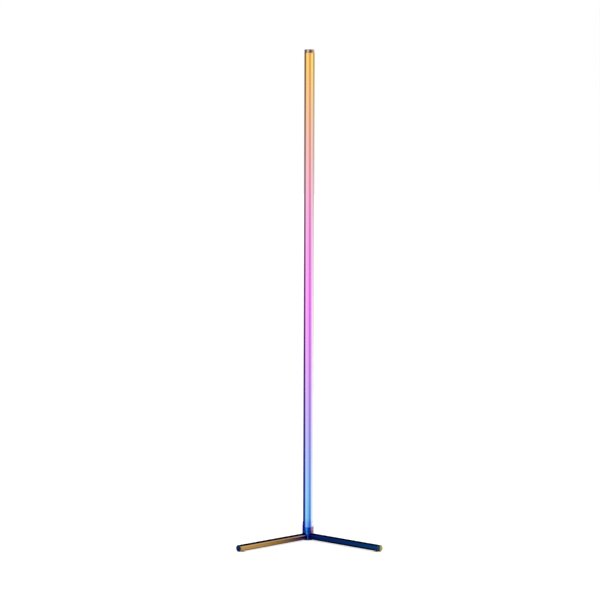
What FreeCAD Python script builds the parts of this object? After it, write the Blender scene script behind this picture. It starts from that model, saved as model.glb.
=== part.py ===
import FreeCAD, Part

import math
import os

import Sketcher

# Corner floor lamp: a slim round light pole that stands on a V-shaped base of two steel tubes.
#
# The frame: origin on the pole's axis at the floor, +Z up, the light faces -Y, +X to its right.
# The legs run forward to the left and the right of -Y. A leg's own length runs along its local X
# from the pole's axis, and a radial piece's own length runs along its local Z from that axis.

doc = FreeCAD.newDocument("corner_floor_lamp")

# ---------------------------------------------------------------- driving dimensions (mm, degrees)

SIZES = (
    # the whole
    ("total_height", 1400, "floor to the top of the cap"),
    ("fit_gap", 0.05, "radial clearance of a close fit"),
    ("loose_gap", 0.3, "clearance between pieces that pass each other"),
    # pole
    ("pole_radius", 14.5, "outside of the light pole"),
    ("pole_wall", 1.5, "wall of the pole's profile"),
    ("seat_rise", 11.6, "collar's underside to the pole profile's lower end"),
    ("slot_angle", 41, "half the angle that the profile's front slot opens"),
    ("web_depth", 8.3, "pole's surface to the front of the lamp-strip web"),
    ("web_thickness", 1.4, "thickness of the lamp-strip web"),
    ("plug_length", 16, "length of the plugs inside the profile's ends"),
    ("joiner_length", 60, "length of the block that joins the two profiles"),
    ("joiner_bore", 5, "radius of the joiner's wire passage"),
    ("cap_height", 10, "visible height of the top cap"),
    ("cap_round", 1.2, "rounding of the top cap's edge"),
    # diffuser
    ("diffuser_wall", 1.2, "wall of the diffuser"),
    ("lip_thickness", 1, "thickness of the diffuser's lips behind the slot"),
    ("lip_leg", 1.2, "thickness of the diffuser's legs in the slot"),
    ("lip_room", 0.7, "web's front to the ends of the diffuser's lips"),
    # collar, which turns with the pole
    ("collar_step", 2, "how far the collar and the hub stand out of the pole"),
    ("collar_band", 5.1, "height of the collar's straight foot"),
    ("collar_cup", 15.5, "profile's lower end to the collar's lip"),
    ("collar_lip_step", 0.8, "how far the collar's lip stands out of the pole"),
    ("spigot_radius", 10, "spigot that turns in the hub"),
    ("spigot_length", 8, "length of that spigot"),
    ("edge_break", 0.4, "small chamfer on turned edges"),
    # hub
    ("hub_lift", 0.5, "floor to the hub's underside"),
    ("hub_top", 25, "floor to the hub's top face"),
    ("ring_thickness", 0.8, "swivel ring between hub and collar"),
    ("axial_gap", 0.1, "running gap at the swivel's flat faces"),
    ("pad_radius", 11, "rubber pad under the hub"),
    ("pad_thickness", 1.5, "thickness of that pad"),
    ("head_room", 4, "height of the bolt head's recess"),
    ("recess_radius", 8, "radius of the bolt head's recess"),
    # swivel bolt
    ("bolt_radius", 3.9, "shank of the swivel bolt"),
    ("bolt_head_radius", 6.5, "head of the swivel bolt"),
    ("bolt_head_height", 2.8, "height of that head"),
    ("seat_floor", 2.9, "shank's end to the profile's lower end"),
    ("bolt_socket", 2.5, "socket in that head across its corners, halved"),
    ("bolt_socket_depth", 2, "depth of that socket"),
    ("washer_radius", 7.5, "outside of the thrust washer"),
    ("washer_thickness", 0.8, "thickness of the thrust washer"),
    # legs
    ("leg_radius", 9.5, "outside of a leg tube"),
    ("leg_wall", 1.2, "wall of a leg tube"),
    ("leg_lift", 1.5, "floor to the underside of a leg tube"),
    ("leg_reach", 280, "pole axis to a leg's end face"),
    ("leg_angle", 45, "angle of each leg from straight ahead"),
    ("leg_socket", 12.5, "pole axis to the floor of a leg's socket"),
    ("stud_radius", 3.9, "threaded stud that holds a leg"),
    ("stud_start", 6, "pole axis to a stud's inner end"),
    ("stud_length", 25, "length of a stud"),
    ("insert_length", 22, "threaded insert inside a leg's inner end"),
    ("ballast_gap", 0.5, "gap round the steel ballast bar inside a leg"),
    ("end_cap_rim", 3, "visible thickness of a leg's end cap"),
    ("end_cap_plug", 11, "length of the end cap's plug"),
    ("end_cap_round", 0.8, "rounding of the end cap's edge"),
    ("foot_radius", 6.5, "rubber foot under a leg's end"),
    ("foot_inset", 18, "leg's end face to the middle of its foot"),
    # grub screws
    ("grub_radius", 1.9, "thread of a grub screw"),
    ("grub_length", 5, "length of a grub screw"),
    ("grub_socket", 1.1, "socket across its corners, halved"),
    ("grub_socket_depth", 2, "depth of that socket"),
    ("grub_sink", 0.3, "how far a grub screw lies below the surface"),
    ("collar_screw_place", 7.5, "profile's lower end to the collar's screws"),
    ("joiner_screw_offset", 16, "joint to a joiner screw"),
    ("cap_screw_drop", 9, "cap's underside to its screw"),
    # lamp strip
    ("strip_width", 10, "width of the lamp strip"),
    ("strip_thickness", 0.4, "thickness of the lamp strip"),
    ("strip_margin", 2, "gap from a strip's end to what is next to it"),
    ("chip_size", 5, "side of a light-emitting chip"),
    ("chip_height", 1.4, "height of a chip"),
    ("chip_pitch", 20, "chip to chip along the strip"),
    ("link_length", 12, "plug-and-socket link between the two strips"),
    ("link_width", 11, "width of that link"),
    # electronics in the pole's foot
    ("jack_room", 1.5, "collar's plug to the jack's nut"),
    ("jack_radius", 4.5, "barrel of the power jack"),
    ("jack_flange", 6.5, "flange of the power jack"),
    ("jack_proud", 1.2, "how far the jack stands out of the pole"),
    ("jack_bore", 2.9, "radius of the jack's mouth"),
    ("jack_depth", 9.5, "depth of the jack's mouth"),
    ("jack_floor", 2.7, "thickness of the jack's closed end"),
    ("jack_pin", 1.05, "radius of the jack's centre pin"),
    ("jack_pin_back", 1, "how far the pin ends inside the mouth"),
    ("nut_radius", 7, "jack nut across its corners, halved"),
    ("nut_thickness", 1.7, "thickness of the jack nut"),
    ("board_place", 18, "power jack's axis to the controller board"),
    ("board_length", 60, "length of the controller board"),
    ("board_width", 16, "width of the controller board"),
    ("board_front", 2, "pole axis to the board's front face"),
    ("board_thickness", 1.6, "thickness of the board"),
    ("rail_width", 1.5, "walls of the board's carrier"),
    ("part_side", 6, "side of the parts on the board"),
    ("part_depth", 1.4, "depth of the flat parts on the board"),
    ("coil_depth", 3.5, "depth of the coil on the board"),
    ("regulator_place", 18, "board's lower end to the voltage regulator"),
    ("processor_place", 30, "board's lower end to the processor"),
    ("coil_place", 48, "board's lower end to the coil"),
    ("wire_radius", 0.6, "insulated wire"),
    ("wire_pitch", 2.5, "wire to wire"),
    ("wire_room", 2.3, "carrier's floor to the rising power wires"),
    ("lead_window", 1, "room round the strip leads in the web"),
    ("lead_inset", 8, "board's lower end to the strip leads"),
    # mode button
    ("button_place", 30, "controller board's lower end to the button's axis"),
    ("button_radius", 4, "radius of the button"),
    ("button_flange", 5.5, "flange that keeps the button in"),
    ("button_flange_thickness", 1, "thickness of that flange"),
    ("button_proud", 1, "how far the button stands out of the pole"),
    ("button_stem", 2, "radius of the button's stem"),
    ("button_stem_length", 1.2, "length of the button's stem"),
    ("button_round", 0.6, "rounding of the button's edge"),
    ("switch_side", 6, "side of the tact switch"),
    ("switch_depth", 3.5, "depth of the tact switch"),
    ("plunger_radius", 1.5, "plunger of the tact switch"),
    ("plunger_sink", 2.1, "how far the plunger reaches into the switch"),
    ("plunger_travel", 0.9, "room below the plunger"),
)

sheet = doc.addObject("Spreadsheet::Sheet", "Sizes")
for row, (alias, number, note) in enumerate(SIZES, start=1):
    sheet.set("A%d" % row, note)
    sheet.set("B%d" % row, str(number))
    sheet.setAlias("B%d" % row, alias)
doc.recompute()


def size(text):
    """The number that an expression on the sheet gives now."""
    return float(sheet.evalExpression(text))


# Places that several pieces share, as expressions on the sheet.
PROFILE_INSIDE = "(Sizes.pole_radius - Sizes.pole_wall)"
PLUG_RADIUS = "(%s - 4 * Sizes.fit_gap)" % PROFILE_INSIDE
SLOT_HALF = "(Sizes.pole_radius * sin(Sizes.slot_angle))"
WEB_FRONT = "(Sizes.pole_radius - Sizes.web_depth)"
WEB_BACK = "(%s - Sizes.web_thickness)" % WEB_FRONT
LIP_FRONT = "(%s + Sizes.lip_room)" % WEB_FRONT
LIP_INSIDE = "(%s - 2 * Sizes.fit_gap - Sizes.lip_leg)" % SLOT_HALF
COLLAR_RADIUS = "(Sizes.pole_radius + Sizes.collar_step)"
COLLAR_LIP = "(Sizes.pole_radius + Sizes.collar_lip_step)"
COLLAR_BOTTOM = "(Sizes.hub_top + Sizes.ring_thickness + Sizes.axial_gap)"
COLLAR_STRAIGHT = "(%s + Sizes.collar_band)" % COLLAR_BOTTOM
SEAT_HEIGHT = "(%s + Sizes.seat_rise)" % COLLAR_BOTTOM
COLLAR_TOP = "(%s + Sizes.collar_cup)" % SEAT_HEIGHT
COLLAR_SCREW_HEIGHT = "(%s + Sizes.collar_screw_place)" % SEAT_HEIGHT
SPIGOT_BOTTOM = "(%s - Sizes.spigot_length)" % COLLAR_BOTTOM
CAP_BOTTOM = "(Sizes.total_height - Sizes.cap_height)"
SECTION_LENGTH = "((%s - %s) / 2)" % (CAP_BOTTOM, SEAT_HEIGHT)
JOINT_HEIGHT = "((%s + %s) / 2)" % (CAP_BOTTOM, SEAT_HEIGHT)
BORE_FLOOR = "(Sizes.hub_top - Sizes.spigot_length)"
RECESS_TOP = "(Sizes.pad_thickness + Sizes.head_room)"
HEAD_TOP = "(%s - Sizes.washer_thickness - Sizes.axial_gap)" % RECESS_TOP
HEAD_BOTTOM = "(%s - Sizes.bolt_head_height)" % HEAD_TOP
BOLT_TOP = "(%s - Sizes.seat_floor)" % SEAT_HEIGHT
LEG_INSIDE = "(Sizes.leg_radius - Sizes.leg_wall)"
LEG_START = "(Sizes.leg_socket + Sizes.fit_gap)"
LEG_AXIS = "(Sizes.leg_lift + Sizes.leg_radius)"
TUBE_END = "(Sizes.leg_reach - Sizes.end_cap_rim)"
INSERT_END = "(%s + Sizes.insert_length)" % LEG_START
STUD_END = "(Sizes.stud_start + Sizes.stud_length)"
BALLAST_RADIUS = "(%s - Sizes.ballast_gap)" % LEG_INSIDE
STRIP_FRONT = "(%s + Sizes.strip_thickness)" % WEB_FRONT
CHIP_FRONT = "(%s + Sizes.chip_height)" % STRIP_FRONT
JACK_HEIGHT = "(%s + Sizes.plug_length + Sizes.jack_room + Sizes.nut_radius)" % SEAT_HEIGHT
JACK_FACE = "(Sizes.pole_radius + Sizes.jack_proud)"
JACK_BACK = "(%s - Sizes.jack_depth - Sizes.jack_floor)" % JACK_FACE
NUT_OUTSIDE = "(sqrt(%s^2 - Sizes.nut_radius^2) - Sizes.loose_gap)" % PROFILE_INSIDE
BOARD_BOTTOM = "(%s + Sizes.board_place)" % JACK_HEIGHT
BOARD_BACK = "(Sizes.board_front + Sizes.board_thickness)"
BUTTON_HEIGHT = "(%s + Sizes.button_place)" % BOARD_BOTTOM
SWITCH_TOP = "(%s + Sizes.switch_depth)" % BOARD_BACK
FLANGE_OUTSIDE = "(sqrt(%s^2 - Sizes.button_flange^2) - Sizes.loose_gap)" % PROFILE_INSIDE
FLANGE_INSIDE = "(%s - Sizes.button_flange_thickness)" % FLANGE_OUTSIDE
BUTTON_STEM_END = "(%s - Sizes.button_stem_length)" % FLANGE_INSIDE

BACK = 90  # azimuth of +Y, degrees from +X
REAR_SIDES = (45, 135)  # azimuths of paired screws, both out of sight from the front
SIDES = (("left", -1), ("right", 1))


# ---------------------------------------------------------------- small tools for the pieces

def bind(item, **expressions):
    """Bind properties of a document object to expressions on the sheet."""
    for name, text in expressions.items():
        item.setExpression(name, text)
    return item


def move(item, x="0", y="0", z="0"):
    """Bind the object's place; what stays at zero is left alone."""
    for axis, text in (("x", x), ("y", y), ("z", z)):
        if text != "0":
            item.setExpression("Placement.Base." + axis, text)
    return item


def cylinder(name, radius, height, x="0", y="0", z="0"):
    """Upright cylinder with its foot at the given point."""
    item = doc.addObject("Part::Cylinder", name)
    return move(bind(item, Radius=radius, Height=height), x, y, z)


def lying(name, radius, length, start):
    """Cylinder along local X from a distance on that axis."""
    item = cylinder(name, radius, length)
    item.Placement = FreeCAD.Placement(FreeCAD.Vector(), FreeCAD.Rotation(FreeCAD.Vector(0, 1, 0), 90))
    return move(item, x=start)


def block(name, x, y, z, length, width, height):
    """Box with its lowest corner at x, y, z."""
    item = doc.addObject("Part::Box", name)
    return move(bind(item, Length=length, Width=width, Height=height), x, y, z)


def middle_block(name, half, y, z, width, height):
    """Box that reaches the same distance to both sides of the middle plane."""
    return block(name, "-(%s)" % half, y, z, "2 * (%s)" % half, width, height)


def prism(name, corner_radius, height, z="0"):
    """Upright hexagonal prism."""
    item = doc.addObject("Part::Prism", name)
    item.Polygon = 6
    return move(bind(item, Circumradius=corner_radius, Height=height), z=z)


def cut(name, base, *tools):
    """The base without the tools."""
    for number, tool in enumerate(tools, start=1):
        last = number == len(tools)
        step = doc.addObject("Part::Cut", name if last else "%s_cut%d" % (name, number))
        step.Base = base
        step.Tool = tool
        base = step
    return base


def fuse(name, *pieces):
    """One solid from pieces that meet."""
    item = doc.addObject("Part::MultiFuse", name)
    item.Shapes = list(pieces)
    item.Refine = True
    return item


def common(name, first, second):
    """What two solids share."""
    item = doc.addObject("Part::MultiCommon", name)
    item.Shapes = [first, second]
    return item


def group(name, pieces):
    """Separate solids of one kind in one node."""
    item = doc.addObject("Part::Compound", name)
    item.Links = list(pieces)
    return item


def tangent_arc(start, end, before):
    """Arc from start to end that leaves along the direction before, and the order of its ends."""
    along = (start - before).normalize()
    normal = FreeCAD.Vector(-along.y, along.x, 0)
    chord = end - start
    reach = chord.dot(chord) / (2 * chord.dot(normal))
    centre = start + normal * reach
    first = math.atan2(start.y - centre.y, start.x - centre.x)
    last = math.atan2(end.y - centre.y, end.x - centre.x)
    circle = Part.Circle(centre, FreeCAD.Vector(0, 0, 1), abs(reach))
    if reach > 0:
        return Part.ArcOfCircle(circle, first, last), (1, 2)
    return Part.ArcOfCircle(circle, last, first), (2, 1)


def origin_plane(body, role):
    """One of the body's own origin planes."""
    return [item for item in body.Origin.OriginFeatures if item.Role == role][0]


def outline(body, points, arcs=(), plane="XZ_Plane", closed=True):
    """Line through points whose two places are bound to the sheet, closed or open.

    A segment whose number is in arcs is an arc tangent to the segment before it.
    """
    sketch = body.newObject("Sketcher::SketchObject", body.Name + "_outline")
    sketch.AttachmentSupport = [(origin_plane(body, plane), "")]
    sketch.MapMode = "FlatFace"
    corners = [FreeCAD.Vector(size(across), size(up), 0) for across, up in points]
    count = len(corners)
    segments = count if closed else count - 1
    ends = []
    for number in range(segments):
        start = corners[number]
        end = corners[(number + 1) % count]
        if number in arcs:
            shape, order = tangent_arc(start, end, corners[number - 1])
        else:
            shape, order = Part.LineSegment(start, end), (1, 2)
        sketch.addGeometry(shape, False)
        ends.append(order)
    for number in range(segments if closed else segments - 1):
        following = (number + 1) % segments
        kind = "Tangent" if following in arcs else "Coincident"
        sketch.addConstraint(
            Sketcher.Constraint(kind, number, ends[number][1], following, ends[following][0]))
    for number, (across, up) in enumerate(points):
        segment, end = (number, 0) if number < segments else (number - 1, 1)
        point = ends[segment][end]
        for kind, text, axis in (("DistanceX", across, -2), ("DistanceY", up, -1)):
            if text == "0":
                sketch.addConstraint(Sketcher.Constraint("PointOnObject", segment, point, axis))
                continue
            index = sketch.addConstraint(
                Sketcher.Constraint(kind, -1, 1, segment, point, size(text)))
            sketch.setExpression("Constraints[%d]" % index, text)
    return sketch


def turned(name, points, arcs=(), axis="V_Axis"):
    """Body turned round its upright axis from an outline of (radius, height) points.

    With axis H_Axis the body is turned round local X from (length, radius) points.
    """
    body = doc.addObject("PartDesign::Body", name)
    sketch = outline(body, points, arcs)
    turn = body.newObject("PartDesign::Revolution", name + "_turn")
    turn.Profile = sketch
    turn.ReferenceAxis = (sketch, [axis])
    turn.Angle = 360
    return body


def ring(name, inside, outside, bottom, top):
    """Flat turned ring."""
    return turned(name, ((inside, bottom), (outside, bottom), (outside, top), (inside, top)))


def on_leg(item, side):
    """Put a piece made along local X onto the leg of one side."""
    item.Placement = FreeCAD.Placement(FreeCAD.Vector(), FreeCAD.Rotation(FreeCAD.Vector(0, 0, 1), -BACK))
    item.setExpression("Placement.Rotation.Angle", "-90 + %d * Sizes.leg_angle" % side)
    return move(item, z=LEG_AXIS)


def radial(item, azimuth, height):
    """Turn a piece made along local Z to point outwards from the pole at an azimuth."""
    turn = FreeCAD.Rotation(FreeCAD.Vector(0, 0, 1), azimuth)
    lean = FreeCAD.Rotation(FreeCAD.Vector(0, 1, 0), 90)
    item.Placement = FreeCAD.Placement(FreeCAD.Vector(), turn.multiply(lean))
    return move(item, z=height)


def radial_hole(name, radius, azimuth, height):
    """Tool for a round hole from the pole's axis out through its wall."""
    return radial(cylinder(name, radius, "2 * %s" % COLLAR_RADIUS), azimuth, height)


def radial_rod(name, radius, start, end, azimuth, height):
    """Round rod between two distances from the pole's axis."""
    rod = turned(name, (("0", start), (radius, start), (radius, end), ("0", end)))
    return radial(rod, azimuth, height)


def grub_screw(name, azimuth, height, surface):
    """Grub screw with a hexagonal socket, just below a surface at a distance from the axis."""
    top = "(%s - Sizes.grub_sink)" % surface
    thread = cylinder(name + "_thread", "Sizes.grub_radius", "Sizes.grub_length",
                      z="%s - Sizes.grub_length" % top)
    socket = prism(name + "_socket", "Sizes.grub_socket", "Sizes.grub_socket_depth + 1",
                   z="%s - Sizes.grub_socket_depth" % top)
    return radial(cut(name, thread, socket), azimuth, height)


def profile_plug(name, bottom, length):
    """D-shaped plug that fills the profile's room behind the web."""
    rod = cylinder(name + "_rod", PLUG_RADIUS, length, z=bottom)
    keep = middle_block(name + "_keep", "Sizes.pole_radius", "-%s + 2 * Sizes.fit_gap" % WEB_BACK,
                        bottom, "%s + 2 * Sizes.pole_radius" % WEB_FRONT, length)
    return common(name, rod, keep)


# ---------------------------------------------------------------- base: hub and legs

def make_base_hub():
    """Turned hub with a bore for the collar's spigot and a socket and stud hole for each leg."""
    bolt_way = "(Sizes.bolt_radius + Sizes.loose_gap)"
    bore = "(Sizes.spigot_radius + Sizes.fit_gap)"
    pad_recess = "(Sizes.pad_radius + 2 * Sizes.fit_gap)"
    blank = turned("hub_blank", (
        (bolt_way, RECESS_TOP),
        ("Sizes.recess_radius", RECESS_TOP),
        ("Sizes.recess_radius", "Sizes.pad_thickness"),
        (pad_recess, "Sizes.pad_thickness"),
        (pad_recess, "Sizes.hub_lift"),
        ("%s - Sizes.edge_break" % COLLAR_RADIUS, "Sizes.hub_lift"),
        (COLLAR_RADIUS, "Sizes.hub_lift + Sizes.edge_break"),
        (COLLAR_RADIUS, "Sizes.hub_top - Sizes.edge_break"),
        ("%s - Sizes.edge_break" % COLLAR_RADIUS, "Sizes.hub_top"),
        (bore, "Sizes.hub_top"),
        (bore, BORE_FLOOR),
        (bolt_way, BORE_FLOOR),
    ))
    tools = []
    for side, sign in SIDES:
        socket = lying("hub_socket_" + side, "Sizes.leg_radius + Sizes.fit_gap",
                       COLLAR_RADIUS, "Sizes.leg_socket")
        hole = lying("hub_stud_hole_" + side, "Sizes.stud_radius + Sizes.fit_gap",
                     COLLAR_RADIUS, "Sizes.stud_start - Sizes.fit_gap")
        tools.append(on_leg(fuse("hub_leg_tool_" + side, socket, hole), sign))
    return cut("base_hub", blank, *tools)


def make_hub_pad():
    """Rubber pad that the hub rests on."""
    edge = "Sizes.hub_lift / 2"
    return turned("hub_pad", (
        ("0", "0"),
        ("Sizes.pad_radius - %s" % edge, "0"),
        ("Sizes.pad_radius", edge),
        ("Sizes.pad_radius", "Sizes.pad_thickness"),
        ("0", "Sizes.pad_thickness"),
    ))


def make_thrust_washer():
    """Steel washer between the bolt's head and the hub."""
    return ring("thrust_washer", "Sizes.bolt_radius + Sizes.loose_gap", "Sizes.washer_radius",
                "%s - Sizes.washer_thickness" % RECESS_TOP, RECESS_TOP)


def make_swivel_ring():
    """Plastic ring that the collar turns on."""
    return ring("swivel_ring", "Sizes.spigot_radius + Sizes.loose_gap",
                "%s - Sizes.loose_gap" % COLLAR_RADIUS, "Sizes.hub_top",
                "Sizes.hub_top + Sizes.ring_thickness")


def make_leg(side, sign):
    """Tube, threaded insert, ballast bar and end cap of one leg, under their nodes' names."""
    tube = turned("leg_tube_" + side, (
        (LEG_START, LEG_INSIDE),
        (TUBE_END, LEG_INSIDE),
        (TUBE_END, "Sizes.leg_radius"),
        (LEG_START, "Sizes.leg_radius"),
    ), axis="H_Axis")
    tap = "(Sizes.stud_radius + Sizes.fit_gap)"
    insert = turned("leg_insert_" + side, (
        (LEG_START, tap),
        (STUD_END, tap),
        (STUD_END, "0"),
        (INSERT_END, "0"),
        (INSERT_END, "%s - Sizes.fit_gap" % LEG_INSIDE),
        (LEG_START, "%s - Sizes.fit_gap" % LEG_INSIDE),
    ), axis="H_Axis")
    ballast_start = "(%s + Sizes.loose_gap)" % INSERT_END
    ballast_end = "(%s - Sizes.end_cap_plug - Sizes.loose_gap)" % TUBE_END
    ballast = turned("leg_ballast_" + side, (
        (ballast_start, "0"),
        (ballast_end, "0"),
        (ballast_end, BALLAST_RADIUS),
        (ballast_start, BALLAST_RADIUS),
    ), axis="H_Axis")
    cap = turned("leg_cap_" + side, (
        ("%s - Sizes.end_cap_plug" % TUBE_END, "0"),
        ("Sizes.leg_reach", "0"),
        ("Sizes.leg_reach", "Sizes.leg_radius - Sizes.end_cap_round"),
        ("Sizes.leg_reach - Sizes.end_cap_round", "Sizes.leg_radius"),
        (TUBE_END, "Sizes.leg_radius"),
        (TUBE_END, "%s - 2 * Sizes.fit_gap" % LEG_INSIDE),
        ("%s - Sizes.end_cap_plug" % TUBE_END, "%s - 2 * Sizes.fit_gap" % LEG_INSIDE),
    ), arcs=(2,), axis="H_Axis")
    return {item.Name: on_leg(item, sign) for item in (tube, insert, ballast, cap)}


def make_leg_foot(side, sign):
    """Rubber foot under a leg's end, hollowed on top to the tube."""
    place = "(Sizes.leg_reach - Sizes.foot_inset)"
    stem = cylinder("leg_foot_blank_" + side, "Sizes.foot_radius", LEG_AXIS,
                    x=place, z="-%s" % LEG_AXIS)
    tube = lying("leg_foot_tube_" + side, "Sizes.leg_radius", "2 * Sizes.leg_reach", "0")
    return on_leg(cut("leg_foot_" + side, stem, tube), sign)


def make_leg_studs():
    """The two threaded studs between the hub and the legs."""
    studs = []
    for side, sign in SIDES:
        stud = turned("leg_stud_" + side, (
            ("Sizes.stud_start", "0"),
            (STUD_END + " - 2 * Sizes.fit_gap", "0"),
            (STUD_END + " - 2 * Sizes.fit_gap", "Sizes.stud_radius"),
            ("Sizes.stud_start", "Sizes.stud_radius"),
        ), axis="H_Axis")
        studs.append(on_leg(stud, sign))
    return group("leg_studs", studs)


# ---------------------------------------------------------------- pole: collar and swivel bolt

def make_pole_collar():
    """Tapered collar with the spigot below, the profile's plug above and a notch for the diffuser."""
    tap = "(Sizes.bolt_radius + Sizes.fit_gap)"
    socket = "(Sizes.pole_radius + Sizes.fit_gap)"
    tap_top = "(%s + Sizes.loose_gap)" % BOLT_TOP
    blank = turned("collar_blank", (
        (tap, SPIGOT_BOTTOM),
        ("Sizes.spigot_radius", SPIGOT_BOTTOM),
        ("Sizes.spigot_radius", COLLAR_BOTTOM),
        ("%s - Sizes.edge_break" % COLLAR_RADIUS, COLLAR_BOTTOM),
        (COLLAR_RADIUS, COLLAR_BOTTOM + " + Sizes.edge_break"),
        (COLLAR_RADIUS, COLLAR_STRAIGHT),
        (COLLAR_LIP, COLLAR_TOP),
        (socket, COLLAR_TOP),
        (socket, SEAT_HEIGHT),
        ("0", SEAT_HEIGHT),
        ("0", tap_top),
        (tap, tap_top),
    ), arcs=(5,))
    plug = profile_plug("collar_plug", SEAT_HEIGHT, "Sizes.plug_length")
    notch = middle_block("collar_notch", "%s + Sizes.loose_gap" % SLOT_HALF,
                         "-2 * %s" % COLLAR_RADIUS, SEAT_HEIGHT,
                         "2 * %s - %s" % (COLLAR_RADIUS, LIP_FRONT), "2 * %s" % COLLAR_TOP)
    tools = [notch]
    for azimuth in REAR_SIDES:
        tools.append(radial_hole("collar_screw_hole_%d" % azimuth,
                                 "Sizes.grub_radius + Sizes.fit_gap", azimuth,
                                 COLLAR_SCREW_HEIGHT))
    return cut("pole_collar", fuse("collar_body", blank, plug), *tools)


def make_swivel_bolt():
    """Bolt that holds the collar down on the hub; its head runs on the thrust washer."""
    blank = turned("swivel_bolt_blank", (
        ("0", HEAD_BOTTOM),
        ("Sizes.bolt_head_radius - Sizes.edge_break", HEAD_BOTTOM),
        ("Sizes.bolt_head_radius", HEAD_BOTTOM + " + Sizes.edge_break"),
        ("Sizes.bolt_head_radius", HEAD_TOP),
        ("Sizes.bolt_radius", HEAD_TOP),
        ("Sizes.bolt_radius", BOLT_TOP),
        ("0", BOLT_TOP),
    ))
    socket = prism("swivel_bolt_socket", "Sizes.bolt_socket", "Sizes.bolt_socket_depth",
                   z=HEAD_BOTTOM)
    return cut("swivel_bolt", blank, socket)


def make_collar_screws():
    """Grub screws that hold the profile in the collar."""
    screws = []
    for azimuth in REAR_SIDES:
        screws.append(grub_screw("collar_screw_%d" % azimuth, azimuth,
                                 COLLAR_SCREW_HEIGHT, "Sizes.pole_radius"))
    return group("collar_screws", screws)


# ---------------------------------------------------------------- pole: profile and diffuser

def joiner_screw_heights():
    """Heights of the joiner's screws, one below the joint and one above."""
    return ["%s %s Sizes.joiner_screw_offset" % (JOINT_HEIGHT, sign) for sign in ("-", "+")]


def profile(name, bottom, holes):
    """Slotted round profile with a web for the lamp strip, cut by its holes."""
    length = SECTION_LENGTH
    outside = cylinder(name + "_outside", "Sizes.pole_radius", length, z=bottom)
    inside = cylinder(name + "_inside", PROFILE_INSIDE, length, z=bottom)
    wall = cut(name + "_wall", outside, inside)
    core = cylinder(name + "_core", "Sizes.pole_radius - Sizes.pole_wall / 2", length, z=bottom)
    slab = middle_block(name + "_slab", "Sizes.pole_radius", "-%s" % WEB_FRONT, bottom,
                        "Sizes.web_thickness", length)
    web = common(name + "_web", core, slab)
    slot = middle_block(name + "_slot", SLOT_HALF, "-2 * Sizes.pole_radius", bottom,
                        "2 * Sizes.pole_radius - %s" % LIP_FRONT, length)
    return cut(name, fuse(name + "_body", wall, web), slot, *holes)


def make_profile_lower():
    """Lower profile with the holes for the jack, the button, the screws and the strip leads."""
    holes = [
        radial_hole("jack_hole", "Sizes.jack_radius + Sizes.fit_gap", BACK, JACK_HEIGHT),
        radial_hole("button_hole", "Sizes.button_radius + Sizes.loose_gap", BACK,
                    BUTTON_HEIGHT),
        radial_hole("joint_hole_lower", "Sizes.grub_radius + 2 * Sizes.fit_gap", BACK,
                    joiner_screw_heights()[0]),
        lead_window("profile_window"),
    ]
    for azimuth in REAR_SIDES:
        holes.append(radial_hole("foot_hole_%d" % azimuth, "Sizes.grub_radius + 2 * Sizes.fit_gap",
                                 azimuth, COLLAR_SCREW_HEIGHT))
    return profile("profile_lower", SEAT_HEIGHT, holes)


def make_profile_upper():
    """Upper profile with the holes for the joiner's and the cap's screws."""
    holes = []
    for name, height in (("joint_hole_upper", joiner_screw_heights()[1]),
                         ("cap_hole", "%s - Sizes.cap_screw_drop" % CAP_BOTTOM)):
        holes.append(radial_hole(name, "Sizes.grub_radius + 2 * Sizes.fit_gap", BACK, height))
    return profile("profile_upper", JOINT_HEIGHT, holes)


def make_diffuser(name, bottom):
    """Curved cover flush with the pole, with a leg and a lip behind each edge of the slot."""
    length = SECTION_LENGTH
    skin_radius = "(Sizes.pole_radius - Sizes.fit_gap)"
    lip_radius = "(Sizes.pole_radius - Sizes.pole_wall - 4 * Sizes.fit_gap)"
    half = "(%s - 2 * Sizes.fit_gap)" % SLOT_HALF

    def arc_strip(part, outside, inside, reach):
        """Part of a tube's wall in front of the lips' ends, as wide as its reach."""
        wall = cut(part + "_wall", cylinder(part + "_outside", outside, length, z=bottom),
                   cylinder(part + "_inside", inside, length, z=bottom))
        window = middle_block(part + "_window", reach, "-2 * Sizes.pole_radius", bottom,
                              "2 * Sizes.pole_radius - %s - 2 * Sizes.fit_gap" % LIP_FRONT, length)
        return common(part, wall, window)

    skin = arc_strip(name + "_skin", skin_radius, skin_radius + " - Sizes.diffuser_wall", half)
    legs = arc_strip(name + "_legs", skin_radius + " - Sizes.diffuser_wall / 2",
                     lip_radius + " - Sizes.lip_thickness / 2", half)
    lips = arc_strip(name + "_lips", lip_radius, lip_radius + " - Sizes.lip_thickness",
                     "Sizes.pole_radius")
    gap = middle_block(name + "_gap", LIP_INSIDE, "-2 * Sizes.pole_radius", bottom,
                       "2 * Sizes.pole_radius", length)
    hooks = cut(name + "_hooks", fuse(name + "_edges", legs, lips), gap)
    return fuse(name, skin, hooks)


def make_pole_joiner():
    """Block inside both profiles at the joint, with a wire passage and two tapped holes."""
    blank = profile_plug("joiner_blank", "%s - Sizes.joiner_length / 2" % JOINT_HEIGHT,
                         "Sizes.joiner_length")
    passage = cylinder("joiner_passage", "Sizes.joiner_bore", "Sizes.total_height")
    tools = [move(passage, y="Sizes.pole_wall")]
    for number, height in enumerate(joiner_screw_heights()):
        tools.append(radial_hole("joiner_tap_%d" % number, "Sizes.grub_radius + Sizes.fit_gap",
                                 BACK, height))
    return cut("pole_joiner", blank, *tools)


def make_joiner_screws():
    """Grub screws that hold the joiner in both profiles."""
    screws = []
    for number, height in enumerate(joiner_screw_heights()):
        screws.append(grub_screw("joiner_screw_%d" % number, BACK, height, "Sizes.pole_radius"))
    return group("joiner_screws", screws)


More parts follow.
